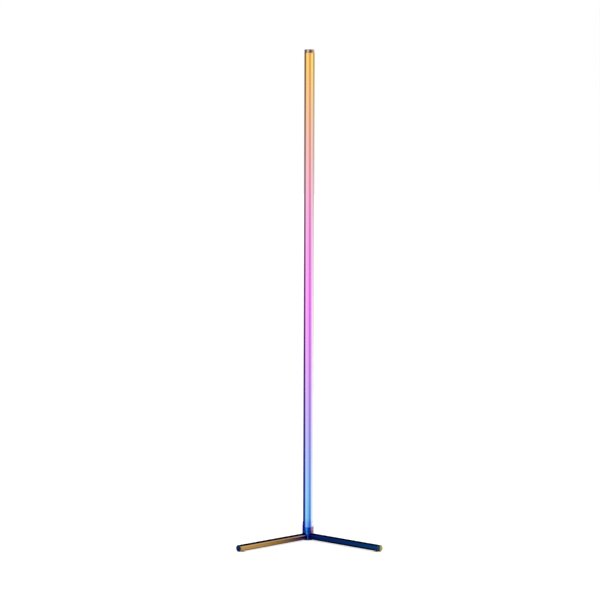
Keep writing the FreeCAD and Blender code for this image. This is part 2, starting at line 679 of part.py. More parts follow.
def make_top_cap():
    """Round cap on the upper profile, with a plug inside it."""
    rim = turned("cap_rim", (
        ("0", CAP_BOTTOM),
        ("Sizes.pole_radius", CAP_BOTTOM),
        ("Sizes.pole_radius", "Sizes.total_height - Sizes.cap_round"),
        ("Sizes.pole_radius - Sizes.cap_round", "Sizes.total_height"),
        ("0", "Sizes.total_height"),
    ), arcs=(2,))
    plug = profile_plug("cap_plug", "%s - Sizes.plug_length" % CAP_BOTTOM, "Sizes.plug_length")
    tap = radial_hole("cap_tap", "Sizes.grub_radius + Sizes.fit_gap", BACK,
                      "%s - Sizes.cap_screw_drop" % CAP_BOTTOM)
    return cut("top_cap", fuse("cap_body", rim, plug), tap)


def make_cap_screw():
    """Grub screw that holds the top cap."""
    return grub_screw("cap_screw", BACK, "%s - Sizes.cap_screw_drop" % CAP_BOTTOM,
                      "Sizes.pole_radius")


# ---------------------------------------------------------------- lamp strip

def make_lamp_strips():
    """The lower and the upper flexible strip, stuck to the front of the web."""
    strips = {}
    length = "%s - 1.5 * Sizes.strip_margin" % SECTION_LENGTH
    for place, bottom in (("lower", "%s + Sizes.strip_margin" % SEAT_HEIGHT),
                          ("upper", "%s + Sizes.strip_margin / 2" % JOINT_HEIGHT)):
        name = "lamp_strip_" + place
        strips[name] = middle_block(name, "Sizes.strip_width / 2", "-%s" % STRIP_FRONT, bottom,
                                    "Sizes.strip_thickness", length)
    return strips


def make_strip_chips():
    """Light-emitting chips of each strip, evenly spaced up and down from the joint."""
    rows = {}
    pitch = size("Sizes.chip_pitch")
    room = size("%s - Sizes.strip_margin - (Sizes.chip_size + Sizes.chip_pitch) / 2" % SECTION_LENGTH)
    count = int(room // pitch) + 1
    for place, sign in (("lower", "-"), ("upper", "+")):
        chips = []
        for number in range(count):
            bottom = "%s %s (%d + 0.5) * Sizes.chip_pitch - Sizes.chip_size / 2" % (
                JOINT_HEIGHT, sign, number)
            chips.append(middle_block("chip_%s_%d" % (place, number), "Sizes.chip_size / 2",
                                      "-%s" % CHIP_FRONT, bottom, "Sizes.chip_height",
                                      "Sizes.chip_size"))
        rows["strip_chips_" + place] = group("strip_chips_" + place, chips)
    return rows


def make_strip_link():
    """Plug-and-socket link that carries power and data across the joint."""
    return middle_block("strip_link", "Sizes.link_width / 2", "-%s" % CHIP_FRONT,
                        "%s - Sizes.link_length / 2" % JOINT_HEIGHT, "Sizes.chip_height",
                        "Sizes.link_length")


# ---------------------------------------------------------------- power jack, board and wires

def make_power_jack():
    """Round jack through the back of the pole, its flange hollowed to the pole's surface."""
    barrel = cylinder("jack_barrel", "Sizes.jack_radius", "%s - %s" % (JACK_FACE, JACK_BACK),
                      z=JACK_BACK)
    disc = cylinder("jack_disc", "Sizes.jack_flange", JACK_FACE)
    pole = lying("jack_pole", "Sizes.pole_radius", "4 * Sizes.jack_flange", "-2 * Sizes.jack_flange")
    mouth = cylinder("jack_mouth", "Sizes.jack_bore", "2 * Sizes.jack_depth",
                     z="%s - Sizes.jack_depth" % JACK_FACE)
    seat = cylinder("jack_pin_seat", "Sizes.jack_pin + Sizes.fit_gap", "Sizes.jack_depth",
                    z="%s - Sizes.jack_depth - Sizes.jack_floor / 2" % JACK_FACE)
    body = fuse("jack_body", barrel, cut("jack_rim", disc, pole))
    return radial(cut("power_jack", body, mouth, seat), BACK, JACK_HEIGHT)


def make_jack_pin():
    """Centre contact of the jack, with a rounded tip."""
    foot = "(%s - Sizes.jack_depth - Sizes.jack_floor / 2)" % JACK_FACE
    tip = "(%s - Sizes.jack_pin_back)" % JACK_FACE
    pin = turned("jack_pin", (
        ("0", foot),
        ("Sizes.jack_pin", foot),
        ("Sizes.jack_pin", tip + " - Sizes.jack_pin / 2"),
        ("Sizes.jack_pin / 2", tip),
        ("0", tip),
    ), arcs=(2,))
    return radial(pin, BACK, JACK_HEIGHT)


def make_jack_nut():
    """Hexagonal nut on the jack's barrel, inside the pole."""
    blank = prism("jack_nut_blank", "Sizes.nut_radius", "Sizes.nut_thickness",
                  z="%s - Sizes.nut_thickness" % NUT_OUTSIDE)
    hole = cylinder("jack_nut_hole", "Sizes.jack_radius + Sizes.fit_gap", "2 * %s" % NUT_OUTSIDE)
    return radial(cut("jack_nut", blank, hole), BACK, JACK_HEIGHT)


def lead_window(name):
    """Tool for the window that the strip leads pass through."""
    room = "(Sizes.wire_radius + Sizes.lead_window)"
    return middle_block(name, "Sizes.wire_pitch + %s" % room, "-2 * %s" % WEB_FRONT,
                        "%s + Sizes.lead_inset - %s" % (BOARD_BOTTOM, room),
                        "2 * %s" % WEB_FRONT, "2 * %s" % room)


def make_controller_board():
    """Board that drives the colours, behind the web."""
    return middle_block("controller_board", "Sizes.board_width / 2", "Sizes.board_front",
                        BOARD_BOTTOM, "Sizes.board_thickness", "Sizes.board_length")


def make_board_carrier():
    """Channel between the web and the board, open for the strip leads."""
    blank = middle_block("carrier_blank", "Sizes.board_width / 2", "-%s" % WEB_BACK,
                         BOARD_BOTTOM, "%s + Sizes.board_front" % WEB_BACK,
                         "Sizes.board_length")
    room = middle_block("carrier_room", "Sizes.board_width / 2 - Sizes.rail_width",
                        "-%s + Sizes.rail_width" % WEB_BACK, BOARD_BOTTOM,
                        "2 * %s" % WEB_FRONT, "Sizes.board_length")
    return cut("board_carrier", blank, room, lead_window("carrier_window"))


def make_board_parts():
    """Processor, regulator and coil on the front of the board."""
    parts = []
    for name, depth in (("regulator", "Sizes.part_depth"), ("processor", "Sizes.part_depth"),
                        ("coil", "Sizes.coil_depth")):
        bottom = "%s + Sizes.%s_place - Sizes.part_side / 2" % (BOARD_BOTTOM, name)
        parts.append(middle_block("board_" + name, "Sizes.part_side / 2",
                                  "Sizes.board_front - " + depth, bottom, depth, "Sizes.part_side"))
    return group("board_parts", parts)


def make_tact_switch():
    """Tact switch on the back of the board, with a hole for its plunger."""
    blank = middle_block("tact_switch_blank", "Sizes.switch_side / 2", BOARD_BACK,
                         "%s - Sizes.switch_side / 2" % BUTTON_HEIGHT, "Sizes.switch_depth",
                         "Sizes.switch_side")
    hole = radial_rod("tact_switch_hole", "Sizes.plunger_radius + Sizes.loose_gap",
                      "%s - Sizes.plunger_sink - Sizes.plunger_travel" % SWITCH_TOP,
                      "%s + Sizes.plunger_travel" % SWITCH_TOP, BACK, BUTTON_HEIGHT)
    return cut("tact_switch", blank, hole)


def make_power_wires():
    """Two wires from the back of the jack up to the front of the board."""
    bend = "(2 * Sizes.wire_radius)"
    back = "(Sizes.rail_width + Sizes.wire_room - %s)" % WEB_BACK
    top = "(%s + Sizes.lead_inset / 2)" % BOARD_BOTTOM
    wires = []
    for side, sign in SIDES:
        body = doc.addObject("PartDesign::Body", "power_wire_" + side)
        route = outline(body, (
            (JACK_BACK, JACK_HEIGHT),
            (back + " + " + bend, JACK_HEIGHT),
            (back, "%s + " % JACK_HEIGHT + bend),
            (back, top + " - " + bend),
            (back + " + " + bend, top),
            ("Sizes.board_front", top),
        ), arcs=(1, 3), plane="YZ_Plane", closed=False)
        section = body.newObject("Sketcher::SketchObject", body.Name + "_section")
        section.AttachmentSupport = [(origin_plane(body, "XZ_Plane"), "")]
        section.MapMode = "FlatFace"
        section.setExpression("AttachmentOffset.Base.y", JACK_HEIGHT)
        section.setExpression("AttachmentOffset.Base.z", "-%s" % JACK_BACK)
        circle = section.addGeometry(
            Part.Circle(FreeCAD.Vector(), FreeCAD.Vector(0, 0, 1), size("Sizes.wire_radius")), False)
        section.addConstraint(Sketcher.Constraint("Coincident", circle, 3, -1, 1))
        radius = section.addConstraint(
            Sketcher.Constraint("Radius", circle, size("Sizes.wire_radius")))
        section.setExpression("Constraints[%d]" % radius, "Sizes.wire_radius")
        pipe = body.newObject("PartDesign::AdditivePipe", body.Name + "_pipe")
        pipe.Profile = section
        pipe.Spine = route
        wires.append(move(body, x="%d * Sizes.wire_pitch / 2" % sign))
    return group("power_wires", wires)


def make_strip_leads():
    """Three leads from the board's front through the web to the back of the lamp strip."""
    leads = []
    for name, place in (("power", -1), ("data", 0), ("ground", 1)):
        lead = cylinder("strip_lead_" + name, "Sizes.wire_radius",
                        "Sizes.board_front + %s" % WEB_FRONT)
        lead.Placement = FreeCAD.Placement(
            FreeCAD.Vector(), FreeCAD.Rotation(FreeCAD.Vector(1, 0, 0), 90))
        leads.append(move(lead, x="%d * Sizes.wire_pitch" % place, y="Sizes.board_front",
                          z="%s + Sizes.lead_inset" % BOARD_BOTTOM))
    return group("strip_leads", leads)


# ---------------------------------------------------------------- mode button

def make_mode_button():
    """Round button through the back of the pole, kept in by its flange."""
    face = "(Sizes.pole_radius + Sizes.button_proud)"
    button = turned("mode_button", (
        ("0", BUTTON_STEM_END),
        ("Sizes.button_stem", BUTTON_STEM_END),
        ("Sizes.button_stem", FLANGE_INSIDE),
        ("Sizes.button_flange", FLANGE_INSIDE),
        ("Sizes.button_flange", FLANGE_OUTSIDE),
        ("Sizes.button_radius", FLANGE_OUTSIDE),
        ("Sizes.button_radius", face + " - Sizes.button_round"),
        ("Sizes.button_radius - Sizes.button_round", face),
        ("0", face),
    ), arcs=(6,))
    return radial(button, BACK, BUTTON_HEIGHT)


def make_switch_plunger():
    """Plunger of the tact switch, which travels with the button."""
    return radial_rod("switch_plunger", "Sizes.plunger_radius",
                      "%s - Sizes.plunger_sink" % SWITCH_TOP, BUTTON_STEM_END, BACK,
                      BUTTON_HEIGHT)


# ---------------------------------------------------------------- the whole lamp

def make_lamp():
    """Every sub-part under its node's name."""
    nodes = {
        "base_hub": make_base_hub(),
        "hub_pad": make_hub_pad(),
        "thrust_washer": make_thrust_washer(),
        "swivel_ring": make_swivel_ring(),
        "leg_studs": make_leg_studs(),
        "pole_collar": make_pole_collar(),
        "swivel_bolt": make_swivel_bolt(),
        "collar_screws": make_collar_screws(),
        "profile_lower": make_profile_lower(),
        "profile_upper": make_profile_upper(),
        "diffuser_lower": make_diffuser("diffuser_lower", SEAT_HEIGHT),
        "diffuser_upper": make_diffuser("diffuser_upper", JOINT_HEIGHT),
        "pole_joiner": make_pole_joiner(),
        "joiner_screws": make_joiner_screws(),
        "top_cap": make_top_cap(),
        "cap_screw": make_cap_screw(),
        "strip_link": make_strip_link(),
        "power_jack": make_power_jack(),
        "jack_pin": make_jack_pin(),
        "jack_nut": make_jack_nut(),
        "controller_board": make_controller_board(),
        "board_carrier": make_board_carrier(),
        "board_parts": make_board_parts(),
        "tact_switch": make_tact_switch(),
        "power_wires": make_power_wires(),
        "strip_leads": make_strip_leads(),
        "mode_button": make_mode_button(),
        "switch_plunger": make_switch_plunger(),
    }
    nodes.update(make_lamp_strips())
    nodes.update(make_strip_chips())
    for side, sign in SIDES:
        nodes.update(make_leg(side, sign))
        nodes["leg_foot_" + side] = make_leg_foot(side, sign)
    return nodes


def check(nodes):
    """Stop if any object failed or any sub-part has no valid solid."""
    for item in doc.Objects:
        if "Invalid" in item.State or "Error" in item.State:
            raise RuntimeError("%s failed: %s" % (item.Name, item.State))
    for name, item in nodes.items():
        shape = item.Shape
        if shape.isNull() or not shape.isValid() or not shape.Solids:
            raise RuntimeError("%s has no valid solid" % name)


lamp = make_lamp()
for label, node in lamp.items():
    node.Label = label
doc.recompute()
check(lamp)
os.makedirs("parts", exist_ok=True)
for label, node in lamp.items():
    node.Shape.exportStep("parts/%s.step" % label)
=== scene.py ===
"""Corner floor lamp: the shown surfaces, their finishes, the studio and the camera.

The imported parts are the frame. Everything is in metres: the origin is on the pole's axis at the
floor, +Z is up, the light faces -Y and +X is to its right.
"""

import math

import bmesh
import bpy
import numpy as np
from bpy.props import FloatProperty, FloatVectorProperty, IntProperty, PointerProperty
from mathutils import Matrix, Vector


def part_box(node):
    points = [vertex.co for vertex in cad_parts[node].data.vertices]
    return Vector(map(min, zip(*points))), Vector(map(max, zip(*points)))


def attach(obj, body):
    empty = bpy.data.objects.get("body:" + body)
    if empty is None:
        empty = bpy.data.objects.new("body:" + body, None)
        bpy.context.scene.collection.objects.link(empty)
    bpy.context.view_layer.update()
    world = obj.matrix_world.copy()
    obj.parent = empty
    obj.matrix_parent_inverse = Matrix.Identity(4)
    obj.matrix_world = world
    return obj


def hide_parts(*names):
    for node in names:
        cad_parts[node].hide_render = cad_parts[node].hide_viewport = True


bl_info = {
    "name": "Corner floor lamp",
    "version": (1, 0, 0),
    "blender": (4, 5, 0),
    "location": "3D View > Sidebar > Lamp",
    "description": "Surfaces, finishes, studio and camera of a corner floor lamp",
    "category": "Object",
}

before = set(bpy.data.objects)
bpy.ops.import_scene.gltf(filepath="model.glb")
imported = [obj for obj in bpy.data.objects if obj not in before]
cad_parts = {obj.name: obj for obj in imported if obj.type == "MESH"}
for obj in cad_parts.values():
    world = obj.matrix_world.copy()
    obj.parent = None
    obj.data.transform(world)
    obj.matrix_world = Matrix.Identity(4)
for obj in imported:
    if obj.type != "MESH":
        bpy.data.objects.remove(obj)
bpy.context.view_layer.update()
IMAGE_WIDTH = 600

MM = 0.001
POLE_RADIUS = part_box("top_cap")[1].x
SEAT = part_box("profile_lower")[0].z
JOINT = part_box("profile_lower")[1].z
CAP_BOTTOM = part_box("profile_upper")[1].z
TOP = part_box("top_cap")[1].z
LIP_INSIDE_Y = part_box("diffuser_lower")[1].y
WEB_FRONT = -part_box("lamp_strip_lower")[1].y
LEG_AXIS = (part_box("leg_tube_left")[0].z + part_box("leg_tube_left")[1].z) / 2
LEG_RADIUS = (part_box("leg_tube_left")[1].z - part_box("leg_tube_left")[0].z) / 2

FRONT_STEPS = 8
BACK_STEPS = 60
CREASE = 32


def linear(code):
    """The linear colour that a web colour code stands for."""
    shades = [int(code[place:place + 2], 16) / 255 for place in (1, 3, 5)]
    return tuple(s / 12.92 if s <= 0.04045 else ((s + 0.055) / 1.055) ** 2.4 for s in shades)


# ---------------------------------------------------------------- what a user would change

class LampSizes(bpy.types.PropertyGroup):
    """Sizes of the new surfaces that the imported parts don't give by themselves."""

    slot_angle: FloatProperty(
        name="Slot angle", description="Half the angle that the pole's front slot opens",
        default=math.radians(41), subtype="ANGLE")
    wall: FloatProperty(
        name="Profile wall", description="Wall of the pole's profile",
        default=1.5 * MM, unit="LENGTH")
    web: FloatProperty(
        name="Web", description="Thickness of the web behind the lamp strip",
        default=1.4 * MM, unit="LENGTH")
    cover_wall: FloatProperty(
        name="Cover wall", description="Wall of the light cover",
        default=1.2 * MM, unit="LENGTH")
    edge: FloatProperty(
        name="Edge", description="Small break on the edges of the pole's sections",
        default=0.2 * MM, unit="LENGTH")
    cap_round: FloatProperty(
        name="Cap rounding", description="Rounding of the top cap's edge",
        default=1.2 * MM, unit="LENGTH")
    leg_reach: FloatProperty(
        name="Leg reach", description="From the pole's axis to a leg's end face",
        default=280 * MM, unit="LENGTH")
    leg_angle: FloatProperty(
        name="Leg angle", description="Angle of each leg from straight ahead",
        default=math.radians(45), subtype="ANGLE")
    leg_wall: FloatProperty(
        name="Leg wall", description="Wall of a leg tube",
        default=1.2 * MM, unit="LENGTH")
    leg_start: FloatProperty(
        name="Leg start", description="From the pole's axis to a leg tube's near end",
        default=12.55 * MM, unit="LENGTH")
    end_cap: FloatProperty(
        name="End cap", description="Thickness of a leg's end cap outside its tube",
        default=3 * MM, unit="LENGTH")
    end_plug: FloatProperty(
        name="End plug", description="How deep a leg's end cap reaches into its tube",
        default=11 * MM, unit="LENGTH")
    jack_hole: FloatProperty(
        name="Jack hole", description="Radius of the hole for the power jack",
        default=4.55 * MM, unit="LENGTH")
    button_hole: FloatProperty(
        name="Button hole", description="Radius of the hole for the mode button",
        default=4.3 * MM, unit="LENGTH")
    screw_hole: FloatProperty(
        name="Screw hole", description="Radius of a grub screw's hole",
        default=2 * MM, unit="LENGTH")
    screw_radius: FloatProperty(
        name="Screw radius", description="Radius of a joiner's grub screw",
        default=1.9 * MM, unit="LENGTH")
    round_steps: IntProperty(
        name="Round steps", description="Faces round a full turn of a turned surface",
        default=128, min=24)


class LampColours(bpy.types.PropertyGroup):
    """Colours of the glow from the top down."""

    gold: FloatVectorProperty(
        name="Gold", description="Glow at the top", subtype="COLOR",
        default=linear("#FDC96C"), min=0, max=1)
    peach: FloatVectorProperty(
        name="Peach", description="Glow an eighth of the way down", subtype="COLOR",
        default=linear("#FABF9C"), min=0, max=1)
    rose: FloatVectorProperty(
        name="Rose", description="Glow a quarter of the way down", subtype="COLOR",
        default=linear("#FBB3C6"), min=0, max=1)
    orchid: FloatVectorProperty(
        name="Orchid", description="Glow above the joint", subtype="COLOR",
        default=linear("#F9A0E8"), min=0, max=1)
    magenta: FloatVectorProperty(
        name="Magenta", description="Glow at the joint", subtype="COLOR",
        default=linear("#FC94FC"), min=0, max=1)
    mauve: FloatVectorProperty(
        name="Mauve", description="Glow below the joint", subtype="COLOR",
        default=linear("#E59DFB"), min=0, max=1)
    lavender: FloatVectorProperty(
        name="Lavender", description="Glow a quarter of the way up", subtype="COLOR",
        default=linear("#BEAAFA"), min=0, max=1)
    sky: FloatVectorProperty(
        name="Sky", description="Glow above the foot", subtype="COLOR",
        default=linear("#82BFFB"), min=0, max=1)
    azure: FloatVectorProperty(
        name="Azure", description="Glow just above the foot", subtype="COLOR",
        default=linear("#62B6F4"), min=0, max=1)
    deep: FloatVectorProperty(
        name="Deep blue", description="Glow at the foot", subtype="COLOR",
        default=linear("#448EF0"), min=0, max=1)


class LampStudio(bpy.types.PropertyGroup):
    """The plain studio and the camera."""

    world_light: FloatProperty(
        name="World light", description="Strength of the even light from all round",
        default=0.7, min=0)
    streak_light: FloatProperty(
        name="Streak light", description="Power of the tall narrow light at the left",
        default=6.0, min=0, unit="POWER")
    soft_light: FloatProperty(
        name="Soft light", description="Power of the large soft light above",
        default=22.0, min=0, unit="POWER")
    camera_place: FloatVectorProperty(
        name="Camera place", description="Where the camera stands", subtype="TRANSLATION",
        default=(-0.131, -6.2449, 1.1446))
    camera_turn: FloatProperty(
        name="Camera turn", description="How far the camera looks to the right",
        default=math.radians(0.973), subtype="ANGLE")
    camera_tilt: FloatProperty(
        name="Camera tilt", description="How far the camera looks up",
        default=math.radians(-4.164), subtype="ANGLE")
    camera_roll: FloatProperty(
        name="Camera roll", description="How far the camera leans",
        default=math.radians(0.168), subtype="ANGLE")
    focal: FloatProperty(
        name="Focal length", description="Focal length in image widths",
        default=2196.9 / IMAGE_WIDTH, min=0.5)


# ---------------------------------------------------------------- surfaces

def arc(radius, start, end, count):
    """Points of an arc round the pole's axis, from one angle to another.

    The angle is counted from -Y towards +X: x is the radius times its sine and y is minus the
    radius times its cosine.
    """
    angle = np.linspace(start, end, count)
    return np.stack([radius * np.sin(angle), -radius * np.cos(angle)], axis=1)


def eased(outline, radii, steps=6):
    """An open outline whose inner corners are replaced by arcs, one radius for each of them.

    The arc's centre lies on the line that halves the corner, as far out as makes it touch both
    sides, and its points turn evenly from one touching point to the other.
    """
    outline = np.asarray(outline, float)
    radii = np.maximum(np.asarray(radii, float), 1e-6)[:, None]
    corner = outline[1:-1]
    back = outline[:-2] - corner
    ahead = outline[2:] - corner
    back /= np.linalg.norm(back, axis=1)[:, None]
    ahead /= np.linalg.norm(ahead, axis=1)[:, None]
    half = np.arccos(np.clip((back * ahead).sum(axis=1), -1, 1))[:, None] / 2
    middle = back + ahead
    middle /= np.linalg.norm(middle, axis=1)[:, None]
    centre = corner + middle * radii / np.sin(half)
    first = corner + back * radii / np.tan(half) - centre
    last = corner + ahead * radii / np.tan(half) - centre
    turn = (math.pi - 2 * half)[:, :, None]
    share = np.linspace(0, 1, steps)[None, :, None]
    points = (centre[:, None] + first[:, None] * np.sin((1 - share) * turn) / np.sin(turn)
              + last[:, None] * np.sin(share * turn) / np.sin(turn))
    return np.concatenate([outline[:1], points.reshape(-1, 2), outline[-1:]])


def quads(rows, columns, wrap_rows, wrap_columns, start=0):
    """Faces of a grid of points, closed along the rows or the columns where asked."""
    index = start + np.arange(rows * columns).reshape(rows, columns)
    if wrap_rows:
        index = np.concatenate([index, index[:1]])
    if wrap_columns:
        index = np.concatenate([index, index[:, :1]], axis=1)
    faces = np.stack([index[:-1, :-1], index[1:, :-1], index[1:, 1:], index[:-1, 1:]], axis=-1)
    return faces.reshape(-1, 4)


def turned(outline, steps, place=(0, 0, 0), axis=(0, 0, 1), closed=True):
    """An outline of (radius, length along the axis) points carried round an axis.

    A point is the place plus the axis times its length, plus its radius times the direction that
    turns evenly round the axis. An open outline starts and ends on the axis, at two poles.
    """
    outline = np.asarray(outline, float)
    axis = Vector(axis).normalized()
    side = axis.orthogonal().normalized()
    across = axis.cross(side)
    axis, side, across = (np.array(v) for v in (axis, side, across))
    angle = np.linspace(0, 2 * math.pi, steps, endpoint=False)
    spokes = np.cos(angle)[:, None] * side + np.sin(angle)[:, None] * across
    line = outline if closed else outline[1:-1]
    grid = (np.asarray(place) + line[:, 1, None, None] * axis
            + line[:, 0, None, None] * spokes[None])
    verts = grid.reshape(-1, 3)
    faces = quads(len(line), steps, closed, True).tolist()
    if not closed:
        ends = np.asarray(place) + outline[[0, -1], 1, None] * axis
        verts = np.concatenate([verts, ends])
        ring = np.arange(steps)
        ahead = np.roll(ring, -1)
        last = (len(line) - 1) * steps
        low = np.full(steps, len(verts) - 2)
        high = np.full(steps, len(verts) - 1)
        faces += np.stack([low, ring, ahead], axis=1).tolist()
        faces += np.stack([last + ahead, last + ring, high], axis=1).tolist()
    return verts, faces


def carried(section, heights):
    """A section in the XY plane carried up through the heights, as a grid of points."""
    grid = np.zeros((len(heights), len(section), 3))
    grid[:, :, :2] = section
    grid[:, :, 2] = np.asarray(heights)[:, None]
    return grid


def drawn_in(section, amount):
    """A closed section moved inwards, each point along the mean of its two sides' normals."""
    along = np.roll(section, -1, axis=0) - np.roll(section, 1, axis=0)
    normal = np.stack([-along[:, 1], along[:, 0]], axis=1)
    normal /= np.linalg.norm(normal, axis=1)[:, None]
    ahead = np.roll(section, -1, axis=0)
    area = (section[:, 0] * ahead[:, 1] - ahead[:, 0] * section[:, 1]).sum()
    return section + math.copysign(amount, area) * normal


def piece(name, shape, finish, body, slot, *nodes):
    """A new mesh from points and faces, smooth apart from its creases, riding on its body."""
    verts, faces = shape
    mesh = bpy.data.meshes.new(name)
    mesh.from_pydata(verts.tolist(), [], faces)
    if mesh.validate():
        raise RuntimeError("%s has faces that can't be" % name)
    net = bmesh.new()
    net.from_mesh(mesh)
    if net.calc_volume(signed=True) < 0:
        mesh.flip_normals()
    net.free()
    obj = bpy.data.objects.new(name, mesh)
    bpy.context.scene.collection.objects.link(obj)
    mesh.materials.append(finish)
    smooth(mesh)
    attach(obj, body)
    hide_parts(*nodes)
    return obj


def smooth(mesh):
    """Smooth shading, broken where two faces meet at more than the crease angle."""
    mesh.polygons.foreach_set("use_smooth", np.ones(len(mesh.polygons), bool))
    mesh.set_sharp_from_angle(angle=math.radians(CREASE))
    mesh.update()


def drilled(obj, holes):
    """The piece with round holes cut out of it: each is (radius, start, end) with two points."""
    verts, faces = np.zeros((0, 3)), []
    for radius, start, end in holes:
        run = Vector(end) - Vector(start)
        outline = [(0, 0), (radius, 0), (radius, run.length), (0, run.length)]
        more, around = turned(outline, 48, start, run, closed=False)
        faces += [[corner + len(verts) for corner in face] for face in around]
        verts = np.concatenate([verts, more])
    mesh = bpy.data.meshes.new(obj.name + "_drill")
    mesh.from_pydata(verts.tolist(), [], faces)
    drill = bpy.data.objects.new(obj.name + "_drill", mesh)
    bpy.context.scene.collection.objects.link(drill)
    net = bmesh.new()
    net.from_mesh(mesh)
    bmesh.ops.recalc_face_normals(net, faces=net.faces)
    net.to_mesh(mesh)
    net.free()
    cut = obj.modifiers.new("holes", "BOOLEAN")
    cut.operation = "DIFFERENCE"
    cut.solver = "EXACT"
    cut.object = drill
    bpy.context.view_layer.update()
    result = bpy.data.meshes.new_from_object(
        obj.evaluated_get(bpy.context.evaluated_depsgraph_get()))
    obj.modifiers.clear()
    old = obj.data
    obj.data = result
    result.name = old.name
    bpy.data.objects.remove(drill)
    bpy.data.meshes.remove(mesh)
    smooth(obj.data)


def cover_section(sizes):
    """Light cover: the outer skin's arc, a leg down each slot edge, a lip, and back inside."""
    gap = 0.05 * MM
    outer = POLE_RADIUS - gap
    inner = outer - sizes.cover_wall
    half = POLE_RADIUS * math.sin(sizes.slot_angle) - 2 * gap
    lip_outer = POLE_RADIUS - sizes.wall - 4 * gap
    lip_inner = lip_outer - 1.0 * MM
    lip_end = -LIP_INSIDE_Y
    leg_inside = half - 1.2 * MM
    edge = math.asin(half / outer)
    bevel = sizes.edge / outer
    right = np.concatenate([
        arc(outer, 0, edge - bevel, 48),
        [(half, -math.sqrt(outer ** 2 - half ** 2) + sizes.edge)],
        arc(lip_outer, math.asin(half / lip_outer), math.acos(lip_end / lip_outer), 6),
        arc(lip_inner, math.acos(lip_end / lip_inner), math.asin(leg_inside / lip_inner), 6),
        arc(inner, math.asin(leg_inside / inner), 0, 40),
    ])
    left = right[1:-1][::-1] * (-1, 1)
    return np.concatenate([right, left])


def cover(name, sizes, bottom, top, finish, node):
    """The cover's section carried up the pole, with a small break at both ends."""
    section = cover_section(sizes)
    small = drawn_in(section, sizes.edge)
    heights = np.linspace(bottom + sizes.edge, top - sizes.edge, 25)
    grid = np.concatenate([carried(small, [bottom]), carried(section, heights),
                           carried(small, [top])])
    rows, columns = grid.shape[:2]
    faces = quads(rows, columns, False, True).tolist()
    faces.append(list(range(columns))[::-1])
    faces.append(list(range((rows - 1) * columns, rows * columns)))
    return piece(name, (grid.reshape(-1, 3), faces), finish, "pole", "glowing_diffuser", node)


def profile_loops(sizes):
    """Outer and inner line of the profile, sampled at the same angles from the slot's edges.

    The outer line runs round the back from one slot edge to the other. The inner line is the
    wall's inside, first in front of the web, then behind it.
    """
    inside = POLE_RADIUS - sizes.wall
    half = POLE_RADIUS * math.sin(sizes.slot_angle)
    slot = math.asin(half / inside)
    front = math.acos(WEB_FRONT / inside)
    back = math.acos((WEB_FRONT - sizes.web) / inside)
    sweep = np.concatenate([np.linspace(slot, front, FRONT_STEPS),
                            np.linspace(back, math.pi, BACK_STEPS)])
    sweep = np.concatenate([sweep, 2 * math.pi - sweep[:-1][::-1]])
    outer = np.stack([POLE_RADIUS * np.sin(sweep), -POLE_RADIUS * np.cos(sweep)], axis=1)
    inner = np.stack([inside * np.sin(sweep), -inside * np.cos(sweep)], axis=1)
    corner = arc(POLE_RADIUS, sizes.slot_angle + sizes.edge / POLE_RADIUS, slot, 5)[:-1]
    return corner, outer, inner


def profile(name, sizes, bottom, top, finish, node, holes):
    """The profile's wall and web carried up the pole between two ends, then drilled.

    One closed line goes round the outside and the front chamber, a second goes round the back
    chamber. The end faces are the strips between the two.
    """
    corner, outer, inner = profile_loops(sizes)
    count = len(outer)
    first = np.concatenate([
        corner, outer, corner[::-1] * (-1, 1),
        [(-inner[0][0], inner[0][1] - 2 * sizes.edge)],
        inner[count - FRONT_STEPS:][::-1], inner[:FRONT_STEPS][::-1],
        [(inner[0][0], inner[0][1] - 2 * sizes.edge)],
    ])
    second = inner[FRONT_STEPS:count - FRONT_STEPS]
    small = drawn_in(first, sizes.edge)
    spots = sorted(start[2] for radius, start, end in holes)
    rims = [z + step for z in spots for step in (-8 * MM, 8 * MM)]
    heights = sorted([bottom + sizes.edge, top - sizes.edge] + rims
                     + list(np.linspace(bottom, top, 14)[1:-1]))
    grid = np.concatenate([carried(small, [bottom]), carried(first, heights),
                           carried(small, [top])])
    rows, columns = grid.shape[:2]
    walls = quads(rows, columns, False, True)
    ends = [bottom] + heights + [top]
    chamber = carried(second, ends)
    begin = rows * columns
    inner_walls = quads(rows, len(second), False, True, begin)[:, ::-1]
    faces = walls.tolist() + inner_walls.tolist()
    edge_points = len(corner)
    for row in (0, rows - 1):
        one = row * columns
        two = begin + row * len(second)
        rim = one + edge_points + np.arange(count)
        turn_back = one + 2 * edge_points + count
        inside_right = turn_back + 1 + np.arange(FRONT_STEPS)
        inside_left = turn_back + 1 + FRONT_STEPS + np.arange(FRONT_STEPS)
        hole = two + np.arange(len(second))
        partner = np.concatenate([inside_left[::-1], hole, inside_right[::-1]])
        strip = np.stack([rim[:-1], rim[1:], partner[1:], partner[:-1]], axis=1).tolist()
        strip.append([int(partner[FRONT_STEPS - 1]), int(hole[0]), int(hole[-1]),
                      int(inside_right[-1])])
        strip.append([int(i) for i in one + np.arange(edge_points)] + [int(rim[0]),
                     int(partner[0]), one + columns - 1])
        strip.append([int(rim[-1])] + [int(i) for i in one + edge_points + count
                     + np.arange(edge_points)] + [turn_back, int(partner[-1])])
        faces += strip if row == 0 else [face[::-1] for face in strip]
    verts = np.concatenate([grid.reshape(-1, 3), chamber.reshape(-1, 3)])
    obj = piece(name, (verts, faces), finish, "pole", "tinted_aluminium", node)
    net = bmesh.new()
    net.from_mesh(obj.data)
    bmesh.ops.recalc_face_normals(net, faces=net.faces)
    net.to_mesh(obj.data)
    net.free()
    drilled(obj, holes)
    return obj


def rear_hole(radius, height):
    """A round hole through the back of the pole: radius and the two ends of the drill's run."""
    return radius, (0, POLE_RADIUS - 4 * MM, height), (0, POLE_RADIUS + 4 * MM, height)


# ---------------------------------------------------------------- finishes

